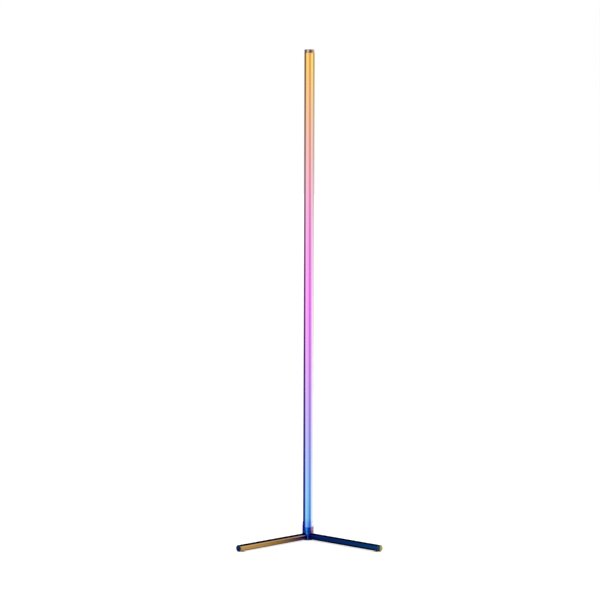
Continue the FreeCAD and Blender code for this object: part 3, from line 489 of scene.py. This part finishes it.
class Finish:
    """A material and short ways to add nodes to it."""

    def __init__(self, name, **plain):
        self.material = bpy.data.materials.new(name)
        self.material.use_nodes = True
        self.nodes = self.material.node_tree.nodes
        self.shader = self.nodes["Principled BSDF"]
        for socket, value in plain.items():
            self.shader.inputs[socket.replace("_", " ")].default_value = value
        self.place = self.add("ShaderNodeTexCoord")

    def add(self, kind, inputs=(), **settings):
        """A node with its settings and its inputs, which are values or other nodes' sockets."""
        node = self.nodes.new(kind)
        for key, value in settings.items():
            setattr(node, key, value)
        for key, value in dict(inputs).items():
            self.set(node.inputs[key], value)
        return node

    def set(self, socket, value):
        """Link or fill one input."""
        if isinstance(value, bpy.types.NodeSocket):
            self.material.node_tree.links.new(value, socket)
        else:
            socket.default_value = value

    def math(self, operation, *values):
        """The result of a math node."""
        node = self.add("ShaderNodeMath", enumerate(values), operation=operation)
        return node.outputs[0]

    def axes(self, output="Object"):
        """X, Y and Z of the object's own coordinates or normal."""
        split = self.add("ShaderNodeSeparateXYZ", {0: self.place.outputs[output]})
        return split.outputs[0], split.outputs[1], split.outputs[2]

    def between(self, value, low, high, first=0.0, last=1.0):
        """The value eased from one level to another between two bounds."""
        node = self.add("ShaderNodeMapRange", {0: value, 1: low, 2: high, 3: first, 4: last},
                        interpolation_type="SMOOTHSTEP")
        return node.outputs[0]

    def ramp(self, value, stops, interpolation="EASE"):
        """A colour ramp with stops of (position, linear colour or grey)."""
        node = self.add("ShaderNodeValToRGB", {0: value})
        ramp = node.color_ramp
        ramp.interpolation = interpolation
        while len(ramp.elements) < len(stops):
            ramp.elements.new(1.0)
        for element, (position, colour) in zip(ramp.elements, stops):
            element.position = position
            if not hasattr(colour, "__len__"):
                colour = (colour,) * 3
            element.color = tuple(colour) + (1.0,)
        return node.outputs[0]

    def mix(self, share, first, second, blend="MIX"):
        """Two colours mixed by a share."""
        node = self.add("ShaderNodeMix", data_type="RGBA", blend_type=blend)
        node.clamp_factor = True
        for socket, value in ((node.inputs[0], share), (node.inputs[6], first),
                              (node.inputs[7], second)):
            if not isinstance(value, bpy.types.NodeSocket) and hasattr(value, "__len__"):
                value = tuple(value) + (1.0,)
            self.set(socket, value)
        return node.outputs[2]

    def grain(self, scale, detail=4.0, stretch=(1, 1, 1)):
        """Noise on the object's own coordinates, drawn out along an axis."""
        mapping = self.add("ShaderNodeMapping", {0: self.place.outputs["Object"], 3: stretch})
        noise = self.add("ShaderNodeTexNoise", {"Vector": mapping.outputs[0], "Scale": scale,
                                                "Detail": detail, "Roughness": 0.6})
        return noise.outputs["Fac"]

    def bump(self, height, strength, distance):
        """Fine relief from a height."""
        node = self.add("ShaderNodeBump", {"Height": height, "Strength": strength,
                                           "Distance": distance})
        self.set(self.shader.inputs["Normal"], node.outputs[0])

    def colour(self, value):
        """Drive the base colour."""
        self.set(self.shader.inputs["Base Color"], value)

    def rough(self, value):
        """Drive the roughness."""
        self.set(self.shader.inputs["Roughness"], value)


def glow_stops(colours):
    """Where each colour of the glow stands between the floor and the pole's top."""
    return [
        (0.034, colours.deep), (0.045, colours.azure), (0.10, colours.sky),
        (0.24, colours.lavender),
        (0.36, colours.mauve), (0.49, colours.magenta), (0.63, colours.orchid),
        (0.745, colours.rose), (0.86, colours.peach), (0.97, colours.gold),
    ]


def glow_with_painted_highlights_and_shade(colours):
    """Milky cover lit from behind: the glow fades from gold to azure down the pole.

    Across the pole it is deepest along a soft line that drifts from the middle at the top to the
    right at the foot. Along both edges it is palest, with painted highlights, and the left edge
    gets painted shade towards the foot.
    """
    look = Finish("milky_glow_painted_highlights_and_shade", Specular_IOR_Level=0.3)
    x, _, z = look.axes()
    height = look.math("DIVIDE", z, TOP)
    tone = look.ramp(height, glow_stops(colours), "LINEAR")
    deep = look.mix(1.0, tone, look.mix(0.5, (0.42,) * 3, tone), "MULTIPLY")
    # Painted highlights: near-white tints by height, laid along the cover's edges below.
    pale = look.ramp(height, [
        (0.05, linear("#E8F8FF")), (0.20, linear("#F6F6FF")), (0.50, (1.0,) * 3),
        (0.80, linear("#FFF0E2")), (0.97, linear("#FFEE88")),
    ], "LINEAR")
    drift = look.math("MULTIPLY", look.math("SUBTRACT", 1.0, height), 3.4 * MM)
    across = look.math("DIVIDE", look.math("SUBTRACT", x, drift), 20 * MM)
    band = look.ramp(look.math("ADD", across, 0.5), [
        (0.0, 0.56), (0.10, 0.80), (0.20, 0.62), (0.30, 0.5), (0.41, 0.48), (0.47, 0.08),
        (0.56, 0.0), (0.65, 0.20), (0.71, 0.36), (0.76, 0.74), (0.82, 1.0), (0.92, 0.95),
        (1.0, 0.75),
    ], "LINEAR")
    shade = look.mix(look.math("MULTIPLY", band, 2.0), deep, tone)
    lift = look.math("MULTIPLY", look.math("SUBTRACT", band, 0.5), 2.0)
    share = look.ramp(height, [
        (0.05, 0.55), (0.15, 0.50), (0.25, 0.42), (0.50, 0.34), (0.73, 0.42), (0.86, 0.50),
        (0.97, 0.80),
    ], "LINEAR")
    # Mix in the painted highlights where the band rises above one half, more at the top and foot.
    shade = look.mix(look.math("MULTIPLY", look.math("MAXIMUM", lift, 0.0), share), shade, pale)
    # Painted shade: the cover's left edge turns navy towards the foot, as if shaded by the metal
    # beside it.
    edge = look.math("MULTIPLY", look.between(x, -8.5 * MM, -9.1 * MM),
                     look.between(height, 0.4, 0.1))
    shade = look.mix(edge, shade, linear("#16287C"))
    cloud = look.math("ADD", look.math("MULTIPLY", look.grain(60), 0.03), 0.985)
    shade = look.mix(1.0, shade, look.mix(cloud, (0, 0, 0), (1, 1, 1)), "MULTIPLY")
    look.colour(look.mix(0.88, shade, (0.0, 0.0, 0.0)))
    look.set(look.shader.inputs["Emission Color"], shade)
    look.shader.inputs["Emission Strength"].default_value = 0.86
    look.rough(look.between(look.grain(900, 2.0), 0.3, 0.7, 0.38, 0.48))
    look.bump(look.grain(2600, 2.0), 0.05, 0.1 * MM)
    return look.material


def pole_coat_painted_reflections():
    """Anodised profile: dark metal with painted reflections on its front sides.

    The painted reflection on the left goes from brown at the top through plum to navy at the foot,
    on the right from tan to nearly white; round the back the metal's own colour is an even
    charcoal. Fine lines run up the pole.
    """
    look = Finish("anodised_profile_painted_reflections", Metallic=1.0,
                  Specular_Tint=(0.4, 0.4, 0.45, 1.0))
    height = look.math("DIVIDE", look.axes()[2], TOP)
    # Painted reflections on the front sides: on the left they follow the glow's colours down the
    # pole, on the right they go from tan to near white.
    left = look.ramp(height, [
        (0.04, linear("#0A2078")), (0.12, linear("#182682")), (0.26, linear("#322A74")),
        (0.38, linear("#54306C")), (0.55, linear("#7C4F82")), (0.74, linear("#9C7C88")),
        (0.86, linear("#987362")), (0.97, linear("#90693C")),
    ], "LINEAR")
    right = look.ramp(height, [
        (0.0, linear("#F4FAFC")), (0.35, linear("#FFF8FE")), (0.60, linear("#FAE2F2")),
        (0.80, linear("#D8BCAC")), (0.97, linear("#D0AE62")),
    ], "LINEAR")
    nx, ny, _ = look.axes("Normal")
    # Split the painted reflections by the surface's own facing: left colours towards -X, right
    # colours towards +X.
    side = look.mix(look.between(nx, -0.3, 0.3), left, right)
    behind = look.mix(look.between(look.grain(40, 3.0, (1, 1, 0.05)), 0.3, 0.7),
                      linear("#2A2A33"), linear("#353542"))
    tone = look.mix(look.between(ny, -0.08, 0.30), side, behind)
    lines = look.grain(500, 3.0, (1, 1, 0.012))
    tone = look.mix(look.between(lines, 0.35, 0.75, 0.0, 0.14), tone, (0.0, 0.0, 0.0))
    look.colour(tone)
    look.rough(look.between(lines, 0.25, 0.8, 0.26, 0.42))
    look.bump(lines, 0.04, 0.1 * MM)
    return look.material


def foot_coat_painted_reflections_and_shade():
    """Polished coat of the collar and the hub, dark metal with painted reflections: deep blue with
    a painted highlight streak left of the middle.

    The painted reflection is violet at the left edge and rosy at the right edge, and between the
    legs the blue is nearly black, as painted shade.
    """
    look = Finish("polished_foot_painted_reflections_and_shade", Metallic=1.0,
                  Specular_Tint=(0.4, 0.4, 0.5, 1.0))
    z = look.axes()[2]
    nx, ny, nz = look.axes("Normal")
    around = look.math("ADD", look.math("MULTIPLY", nx, 0.5), 0.5)
    # Painted reflections round the front by the surface's facing, with a painted highlight at
    # 0.345.
    tone = look.ramp(around, [
        (0.0, linear("#5A4693")), (0.08, linear("#08056A")), (0.18, linear("#02248C")),
        (0.27, linear("#1456BC")), (0.345, linear("#3C96F4")), (0.42, linear("#1C6CC8")),
        (0.50, linear("#00369C")), (0.60, linear("#042084")), (0.70, linear("#302E7C")),
        (0.79, linear("#8A7AAE")), (0.87, linear("#8A6C90")), (0.96, linear("#C2A2B8")),
    ], "LINEAR")
    # Painted shade on the hub between the legs: nearly black blue with a thin painted highlight.
    low = look.ramp(around, [
        (0.0, linear("#3A2C70")), (0.15, linear("#0A0A50")), (0.40, linear("#00105C")),
        (0.455, linear("#34489A")), (0.52, linear("#0A1F70")), (0.62, linear("#001058")),
        (0.80, linear("#20225C")), (1.0, linear("#4A4270")),
    ], "LINEAR")
    tone = look.mix(look.between(z, 20 * MM, 15 * MM), tone, low)
    # Painted highlight: the collar's upper right side turns near white.
    painted_flare_highlight = look.math("MULTIPLY", look.between(z, 36 * MM, 44 * MM),
                      look.between(around, 0.70, 0.82))
    tone = look.mix(painted_flare_highlight, tone, linear("#F2F4FF"))
    behind = look.mix(look.between(look.grain(60, 3.0), 0.3, 0.7), linear("#1C1D38"),
                      linear("#262747"))
    tone = look.mix(look.between(ny, -0.08, 0.30), tone, behind)
    # Painted dark reflection on faces that look up.
    tone = look.mix(look.between(nz, 0.6, 0.95), tone, linear("#16245C"))
    rings = look.grain(700, 2.0, (0.05, 0.05, 1))
    tone = look.mix(look.between(rings, 0.4, 0.8, 0.0, 0.12), tone, (0.0, 0.0, 0.0))
    look.colour(tone)
    look.rough(look.between(rings, 0.3, 0.8, 0.20, 0.32))
    look.bump(rings, 0.03, 0.1 * MM)
    return look.material


def leg_coat_painted_reflections_and_shade(reach):
    """Dark coat of the legs with painted reflections: gold on faces towards the right, navy on
    faces towards the left.

    The top line of each tube is a painted dark reflection with a painted highlight streak under
    it, the undersides get painted shade, and the painted gold turns to mauve near the hub. The end
    caps
    carry painted reflections too: an olive gold with a dark crescent, and a blue black.
    """
    look = Finish("coated_leg_painted_reflections_and_shade", Metallic=1.0,
                  Specular_Tint=(0.4, 0.4, 0.45, 1.0))
    x, y, _ = look.axes()
    nx, ny, nz = look.axes("Normal")
    out = look.math("SQRT", look.math("ADD", look.math("MULTIPLY", x, x),
                                      look.math("MULTIPLY", y, y)))
    along = look.math("DIVIDE", out, reach)
    # Painted reflection on faces towards the right: gold, turning mauve and navy towards the hub.
    gold = look.ramp(along, [
        (0.06, linear("#14105A")), (0.10, linear("#2C1C4C")), (0.16, linear("#4A343E")),
        (0.27, linear("#6E4E36")),
        (0.41, linear("#8C6838")), (0.55, linear("#9A7638")), (0.72, linear("#AC8344")),
        (0.95, linear("#B48842")),
    ], "LINEAR")
    # Painted highlight: the pale streak under each tube's top line.
    streak = look.ramp(along, [
        (0.06, linear("#4A4490")), (0.10, linear("#8878A4")), (0.16, linear("#A38BA1")),
        (0.27, linear("#A78A84")), (0.45, linear("#B39270")),
        (0.95, linear("#CDA87C")),
    ], "LINEAR")
    # Painted reflection on faces towards the left: navy.
    navy = look.ramp(along, [
        (0.12, linear("#0E2474")), (0.28, linear("#0E2868")), (0.55, linear("#0A2A60")),
        (0.96, linear("#0E3668")),
    ], "LINEAR")
    # The painted highlight streak, the painted dark top line and painted shade on the undersides.
    gold = look.mix(look.between(nz, 0.26, 0.40), gold, streak)
    gold = look.mix(look.between(nz, 0.55, 0.66), gold, linear("#1C0810"))
    gold = look.mix(look.between(nz, -0.3, -0.8, 0.0, 0.5), gold, linear("#6A5F50"))
    navy = look.mix(look.between(nz, 0.62, 0.78), navy, linear("#000A22"))
    navy = look.mix(look.between(nz, -0.05, -0.5), navy, linear("#04102E"))
    # Painted reflections on the end caps: a tinted rim, a face, and on the gold side a dark
    # crescent.
    rim = look.between(out, reach - 3.2 * MM, reach - 2.8 * MM)
    gold = look.mix(rim, gold, linear("#8C8258"))
    navy = look.mix(rim, navy, linear("#2C474C"))
    end = look.between(out, reach - 0.7 * MM, reach - 0.3 * MM)
    painted_crescent_reflection = look.between(look.math("ADD", x, y), 0.5 * MM, -6.0 * MM)
    gold = look.mix(end, gold, look.mix(painted_crescent_reflection, linear("#A0965F"), linear("#24403F")))
    navy = look.mix(end, navy, linear("#14264E"))
    # Split the painted reflections by the surface's facing.
    tone = look.mix(look.between(nx, -0.12, 0.12), navy, gold)
    behind = look.mix(look.between(look.grain(50, 3.0), 0.3, 0.7), linear("#23232E"),
                      linear("#30303E"))
    tone = look.mix(look.between(ny, 0.1, 0.7), tone, behind)
    lines = look.grain(600, 3.0)
    tone = look.mix(look.between(lines, 0.4, 0.8, 0.0, 0.12), tone, (0.0, 0.0, 0.0))
    look.colour(tone)
    look.rough(look.between(lines, 0.3, 0.8, 0.22, 0.34))
    look.bump(lines, 0.03, 0.1 * MM)
    return look.material


def top_coat_painted_reflections():
    """Spun top cap grooved in rings, with painted reflections in bronze and tan and a painted
    highlight at the left front.
    """
    look = Finish("spun_cap_painted_reflections", Metallic=1.0)
    x, y, _ = look.axes()
    nx, ny, nz = look.axes("Normal")
    around = look.math("ADD", look.math("MULTIPLY", nx, 0.5), 0.5)
    # Painted reflections round the front by the surface's facing, with a painted highlight near
    # 0.38.
    front = look.ramp(around, [
        (0.0, linear("#453532")), (0.10, linear("#4C3A34")), (0.20, linear("#8A7B74")),
        (0.28, linear("#8A7C78")), (0.38, linear("#B2A398")), (0.46, linear("#8E7B6C")),
        (0.54, linear("#624630")), (0.66, linear("#725038")), (0.78, linear("#B28C6A")),
        (0.90, linear("#CEB296")),
        (1.0, linear("#E0CBB4")),
    ], "LINEAR")
    behind = look.mix(look.between(look.grain(60, 3.0), 0.3, 0.7), linear("#3A342F"),
                      linear("#4A423B"))
    tone = look.mix(look.between(ny, -0.08, 0.30), front, behind)
    radius = look.math("SQRT", look.math("ADD", look.math("MULTIPLY", x, x),
                                         look.math("MULTIPLY", y, y)))
    rings = look.math("ADD", look.math("MULTIPLY", look.math(
        "SINE", look.math("MULTIPLY", radius, 15000.0)), 0.5), 0.5)
    tone = look.mix(look.between(nz, 0.5, 0.95), tone, linear("#8E8078"))
    tone = look.mix(look.math("MULTIPLY", rings, 0.10), tone, (0.0, 0.0, 0.0))
    look.colour(tone)
    look.rough(look.between(look.grain(900, 2.0), 0.3, 0.8, 0.22, 0.36))
    look.bump(rings, 0.05, 0.05 * MM)
    return look.material


def plain_finish(name, first, second, metallic=0.0, rough=(0.35, 0.55), scale=80.0,
                 relief=0.05, **plain):
    """A metal, plastic or rubber whose tone and roughness vary a little with the grain."""
    look = Finish(name, Metallic=metallic, **plain)
    cloud = look.grain(scale)
    look.colour(look.mix(look.between(cloud, 0.3, 0.7), linear(first), linear(second)))
    fine = look.grain(scale * 12, 3.0)
    look.rough(look.between(fine, 0.25, 0.75, rough[0], rough[1]))
    look.bump(fine, relief, 0.2 * MM)
    return look.material


def board_finish():
    """Green circuit board with a pattern of pale tracks under its lacquer."""
    look = Finish("lacquered_board", Roughness=0.3)
    x = look.axes()[0]
    tracks = look.math("FRACT", look.math("MULTIPLY", look.math(
        "ADD", x, look.math("MULTIPLY", look.grain(90, 0.0), 4 * MM)), 500.0))
    line = look.between(look.math("ABSOLUTE", look.math("SUBTRACT", tracks, 0.5)), 0.1, 0.16)
    look.colour(look.mix(line, linear("#3E8A4E"), linear("#145C2E")))
    look.bump(line, 0.1, 0.05 * MM)
    return look.material


# ---------------------------------------------------------------- operators

class LAMP_OT_covers(bpy.types.Operator):
    """Build the two light covers, which glow from gold at the top to azure at the foot."""

    bl_idname = "lamp.covers"
    bl_label = "Light covers"

    def execute(self, context):
        sizes = context.scene.lamp_sizes
        glow = glow_with_painted_highlights_and_shade(context.scene.lamp_colours)
        cover("light_cover_lower", sizes, SEAT, JOINT, glow, "diffuser_lower")
        cover("light_cover_upper", sizes, JOINT, CAP_BOTTOM, glow, "diffuser_upper")
        return {"FINISHED"}


class LAMP_OT_profiles(bpy.types.Operator):
    """Build the two pole profiles with their holes for the jack, the button and the screws."""

    bl_idname = "lamp.profiles"
    bl_label = "Pole profiles"

    def execute(self, context):
        sizes = context.scene.lamp_sizes
        # The profile's coat carries painted reflections.
        coat = pole_coat_painted_reflections()
        low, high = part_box("joiner_screws")
        jack = sum(v.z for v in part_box("jack_nut")) / 2
        button = sum(v.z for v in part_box("mode_button")) / 2
        last = sum(v.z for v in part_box("cap_screw")) / 2
        profile("profile_shell_lower", sizes, SEAT, JOINT, coat, "profile_lower", [
            rear_hole(sizes.jack_hole, jack), rear_hole(sizes.button_hole, button),
            rear_hole(sizes.screw_hole, low.z + sizes.screw_radius)])
        profile("profile_shell_upper", sizes, JOINT, CAP_BOTTOM, coat, "profile_upper", [
            rear_hole(sizes.screw_hole, high.z - sizes.screw_radius),
            rear_hole(sizes.screw_hole, last)])
        return {"FINISHED"}


class LAMP_OT_top_cap(bpy.types.Operator):
    """Build the turned cap on the pole's top."""

    bl_idname = "lamp.top_cap"
    bl_label = "Top cap"

    def execute(self, context):
        sizes = context.scene.lamp_sizes
        rim, groove = POLE_RADIUS, 0.15 * MM
        outline = eased([
            (0, CAP_BOTTOM), (rim - sizes.edge, CAP_BOTTOM), (rim, CAP_BOTTOM + sizes.edge),
            (rim, TOP), (rim - 3 * MM, TOP), (rim - 3.3 * MM, TOP - groove), (0, TOP - groove),
        ], [0, 0, sizes.cap_round, 0.1 * MM, 0.1 * MM])
        shape = turned(outline, sizes.round_steps, closed=False)
        piece("spun_top_cap", shape, top_coat_painted_reflections(), "pole", "tinted_aluminium", "top_cap")
        return {"FINISHED"}


class LAMP_OT_legs(bpy.types.Operator):
    """Build the two leg tubes and the closed cap in each leg's end."""

    bl_idname = "lamp.legs"
    bl_label = "Legs"

    def execute(self, context):
        sizes = context.scene.lamp_sizes
        # The legs' coat carries painted reflections and painted shade.
        coat = leg_coat_painted_reflections_and_shade(sizes.leg_reach)
        start, end = sizes.leg_start, sizes.leg_reach - sizes.end_cap
        inside = LEG_RADIUS - sizes.leg_wall
        middle = (inside, (start + end) / 2)
        tube = eased([middle, (inside, start), (LEG_RADIUS, start), (LEG_RADIUS, end),
                      (inside, end), middle],
                     [0.1 * MM, 0.2 * MM, 0.25 * MM, 0.1 * MM])[:-1]
        plug, reach = inside - 0.1 * MM, sizes.leg_reach
        rim = eased([
            (0, end - sizes.end_plug), (plug, end - sizes.end_plug), (plug, end),
            (LEG_RADIUS, end),
            (LEG_RADIUS, reach), (LEG_RADIUS - 2.2 * MM, reach),
            (LEG_RADIUS - 2.5 * MM, reach - 0.25 * MM), (0, reach - 0.25 * MM),
        ], [0.3 * MM, 0.1 * MM, 0.3 * MM, 0.8 * MM, 0.1 * MM, 0.1 * MM])
        for side, sign in (("left", -1), ("right", 1)):
            axis = (sign * math.sin(sizes.leg_angle), -math.cos(sizes.leg_angle), 0)
            shape = turned(tube, sizes.round_steps, (0, 0, LEG_AXIS), axis)
            piece("leg_shell_" + side, shape, coat, "base", "tinted_steel", "leg_tube_" + side)
            shape = turned(rim, sizes.round_steps, (0, 0, LEG_AXIS), axis, closed=False)
            piece("end_cap_" + side, shape, coat, "base", "tinted_steel", "leg_cap_" + side)
        return {"FINISHED"}


class LAMP_OT_finishes(bpy.types.Operator):
    """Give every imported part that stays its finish."""

    bl_idname = "lamp.finishes"
    bl_label = "Finishes of the packed parts"

    def execute(self, context):
        foot = foot_coat_painted_reflections_and_shade()
        bright = plain_finish("turned_steel", "#A9ABB0", "#C3C5C9", 1.0, (0.2, 0.35))
        dark = plain_finish("blackened_steel", "#17171B", "#26262C", 1.0, (0.3, 0.45))
        plain = plain_finish("plain_aluminium", "#B6B8BC", "#CBCDD0", 1.0, (0.3, 0.45))
        brass = plain_finish("plated_brass", "#B98F3C", "#CFA953", 1.0, (0.15, 0.3))
        plastic = plain_finish("moulded_plastic", "#121215", "#1C1C20", 0.0, (0.35, 0.5), 120,
                               0.12)
        ring = plain_finish("swivel_plastic", "#0A0E38", "#10154A", 0.0, (0.35, 0.5), 120, 0.1)
        rubber = plain_finish("pale_silicone", "#BDBDBA", "#CACAC8", 0.0, (0.6, 0.8), 150, 0.2)
        strip = plain_finish("white_strip", "#E2E2DC", "#F0F0EC", 0.0, (0.4, 0.55))
        chips = plain_finish("lamp_chips", "#EFE7C0", "#F4EDD0", 0.0, (0.2, 0.35), 400)
        wires = plain_finish("wire_cover", "#9A1F1C", "#B02A24", 0.0, (0.4, 0.55))
        board = board_finish()
        finishes = (
            (foot, ("base_hub", "pole_collar")),
            (ring, ("swivel_ring",)),
            (bright, ("thrust_washer", "leg_studs", "leg_ballast_left", "leg_ballast_right",
                      "swivel_bolt", "jack_nut")),
            (dark, ("collar_screws", "joiner_screws", "cap_screw")),
            (plain, ("leg_insert_left", "leg_insert_right", "pole_joiner")),
            (brass, ("jack_pin",)),
            (plastic, ("power_jack", "board_carrier", "board_parts",
                       "tact_switch", "strip_link", "mode_button", "switch_plunger")),
            (rubber, ("hub_pad", "leg_foot_left", "leg_foot_right")),
            (strip, ("lamp_strip_lower", "lamp_strip_upper")),
            (chips, ("strip_chips_lower", "strip_chips_upper")),
            (wires, ("power_wires", "strip_leads")),
            (board, ("controller_board",)),
        )
        for finish, names in finishes:
            for name in names:
                bpy.data.objects[name].material_slots[0].material = finish
        return {"FINISHED"}


class LAMP_OT_studio(bpy.types.Operator):
    """Set up the pale floor, the white surroundings, the soft lamps and the camera."""

    bl_idname = "lamp.studio"
    bl_label = "Studio and camera"

    def execute(self, context):
        scene = context.scene
        studio = scene.lamp_studio
        scene.view_settings.view_transform = "Standard"
        self.floor()
        self.world(scene, studio)
        self.lamp("streak", studio.streak_light, (0.3, 1.9), (-1.25, -1.35, 0.95), (0, 0, 0.7))
        self.lamp("soft", studio.soft_light, (2.2, 2.2), (1.4, -1.6, 2.9), (0, 0, 0.5))
        self.camera(scene, studio)
        return {"FINISHED"}

    def floor(self):
        """A wide level floor, pale by its colour and its own camera share of light."""
        reach = 40.0
        line = np.linspace(-reach, reach, 9)
        x, y = np.meshgrid(line, line)
        verts = np.stack([x.ravel(), y.ravel(), np.full(x.size, -0.0004)], axis=1)
        mesh = bpy.data.meshes.new("studio_floor")
        mesh.from_pydata(verts.tolist(), [], quads(9, 9, False, False)[:, ::-1].tolist())
        floor = bpy.data.objects.new("studio_floor", mesh)
        bpy.context.scene.collection.objects.link(floor)
        look = Finish("pale_floor", Roughness=0.9)
        look.colour(look.mix(look.between(look.grain(2.0), 0.3, 0.7), (0.80,) * 3, (0.82,) * 3))
        path = look.add("ShaderNodeLightPath")
        mirrored = look.math("MAXIMUM", path.outputs["Is Glossy Ray"],
                             path.outputs["Is Transmission Ray"])
        mirrored = look.math("MULTIPLY", mirrored, 0.44)
        seen = look.math("MULTIPLY", path.outputs["Is Camera Ray"], 0.6)
        look.shader.inputs["Emission Color"].default_value = (1, 1, 1, 1)
        look.set(look.shader.inputs["Emission Strength"], look.math("ADD", seen, mirrored))
        mesh.materials.append(look.material)

    def world(self, scene, studio):
        """White where it is seen or mirrored, and the plain level of light elsewhere."""
        world = bpy.data.worlds.new("white_room")
        world.use_nodes = True
        scene.world = world
        tree = world.node_tree
        background = tree.nodes["Background"]
        path = tree.nodes.new("ShaderNodeLightPath")
        level = tree.nodes.new("ShaderNodeMapRange")
        seen = tree.nodes.new("ShaderNodeMath")
        seen.operation = "MAXIMUM"
        also = tree.nodes.new("ShaderNodeMath")
        also.operation = "MAXIMUM"
        tree.links.new(path.outputs["Is Camera Ray"], seen.inputs[0])
        tree.links.new(path.outputs["Is Glossy Ray"], seen.inputs[1])
        tree.links.new(seen.outputs[0], also.inputs[0])
        tree.links.new(path.outputs["Is Transmission Ray"], also.inputs[1])
        tree.links.new(also.outputs[0], level.inputs[0])
        level.inputs[3].default_value = studio.world_light
        level.inputs[4].default_value = 1.0
        tree.links.new(level.outputs[0], background.inputs["Strength"])
        background.inputs["Color"].default_value = (1, 1, 1, 1)

    def lamp(self, name, power, size, place, target):
        """A rectangular lamp that looks at a point."""
        data = bpy.data.lights.new(name, "AREA")
        data.shape = "RECTANGLE"
        data.size, data.size_y = size
        data.energy = power
        lamp = bpy.data.objects.new(name, data)
        lamp.location = place
        lamp.rotation_euler = (Vector(target) - Vector(place)).to_track_quat("-Z", "Y").to_euler()
        bpy.context.scene.collection.objects.link(lamp)

    def camera(self, scene, studio):
        """The camera looks along its turn and tilt, and leans by its roll."""
        turn, tilt, roll = studio.camera_turn, studio.camera_tilt, studio.camera_roll
        ahead = Vector((math.sin(turn) * math.cos(tilt), math.cos(turn) * math.cos(tilt),
                        math.sin(tilt)))
        right = Vector((math.cos(turn), -math.sin(turn), 0))
        up = right.cross(ahead)
        across = math.cos(roll) * right + math.sin(roll) * up
        above = math.cos(roll) * up - math.sin(roll) * right
        data = bpy.data.cameras.new("camera")
        data.sensor_width = 36.0
        data.lens = studio.focal * data.sensor_width
        data.clip_end = 200.0
        camera = bpy.data.objects.new("camera", data)
        turned_to = Matrix((across, above, -ahead)).transposed().to_4x4()
        camera.matrix_world = Matrix.Translation(studio.camera_place) @ turned_to
        scene.collection.objects.link(camera)
        scene.camera = camera


class LAMP_PT_panel(bpy.types.Panel):
    """Lists the steps and the values that a user would change."""

    bl_idname = "LAMP_PT_panel"
    bl_label = "Corner floor lamp"
    bl_space_type = "VIEW_3D"
    bl_region_type = "UI"
    bl_category = "Lamp"

    def draw(self, context):
        column = self.layout.column()
        for step in STEPS:
            column.operator(step.bl_idname)
        for group in (context.scene.lamp_sizes, context.scene.lamp_colours,
                      context.scene.lamp_studio):
            for name in group.__annotations__:
                column.prop(group, name)


GROUPS = (("lamp_sizes", LampSizes), ("lamp_colours", LampColours), ("lamp_studio", LampStudio))
STEPS = (LAMP_OT_studio, LAMP_OT_profiles, LAMP_OT_covers, LAMP_OT_top_cap, LAMP_OT_legs,
         LAMP_OT_finishes)


def register():
    """Register the classes and put the groups on the scene."""
    for name, group in GROUPS:
        bpy.utils.register_class(group)
        setattr(bpy.types.Scene, name, PointerProperty(type=group))
    for cls in STEPS + (LAMP_PT_panel,):
        bpy.utils.register_class(cls)


def unregister():
    """Take the classes and the groups away again."""
    for cls in (LAMP_PT_panel,) + STEPS[::-1]:
        bpy.utils.unregister_class(cls)
    for name, group in GROUPS[::-1]:
        delattr(bpy.types.Scene, name)
        bpy.utils.unregister_class(group)


def main():
    """Register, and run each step."""
    register()
    for step in STEPS:
        group, name = step.bl_idname.split(".")
        getattr(getattr(bpy.ops, group), name)()


if __name__ == "__main__":
    main()
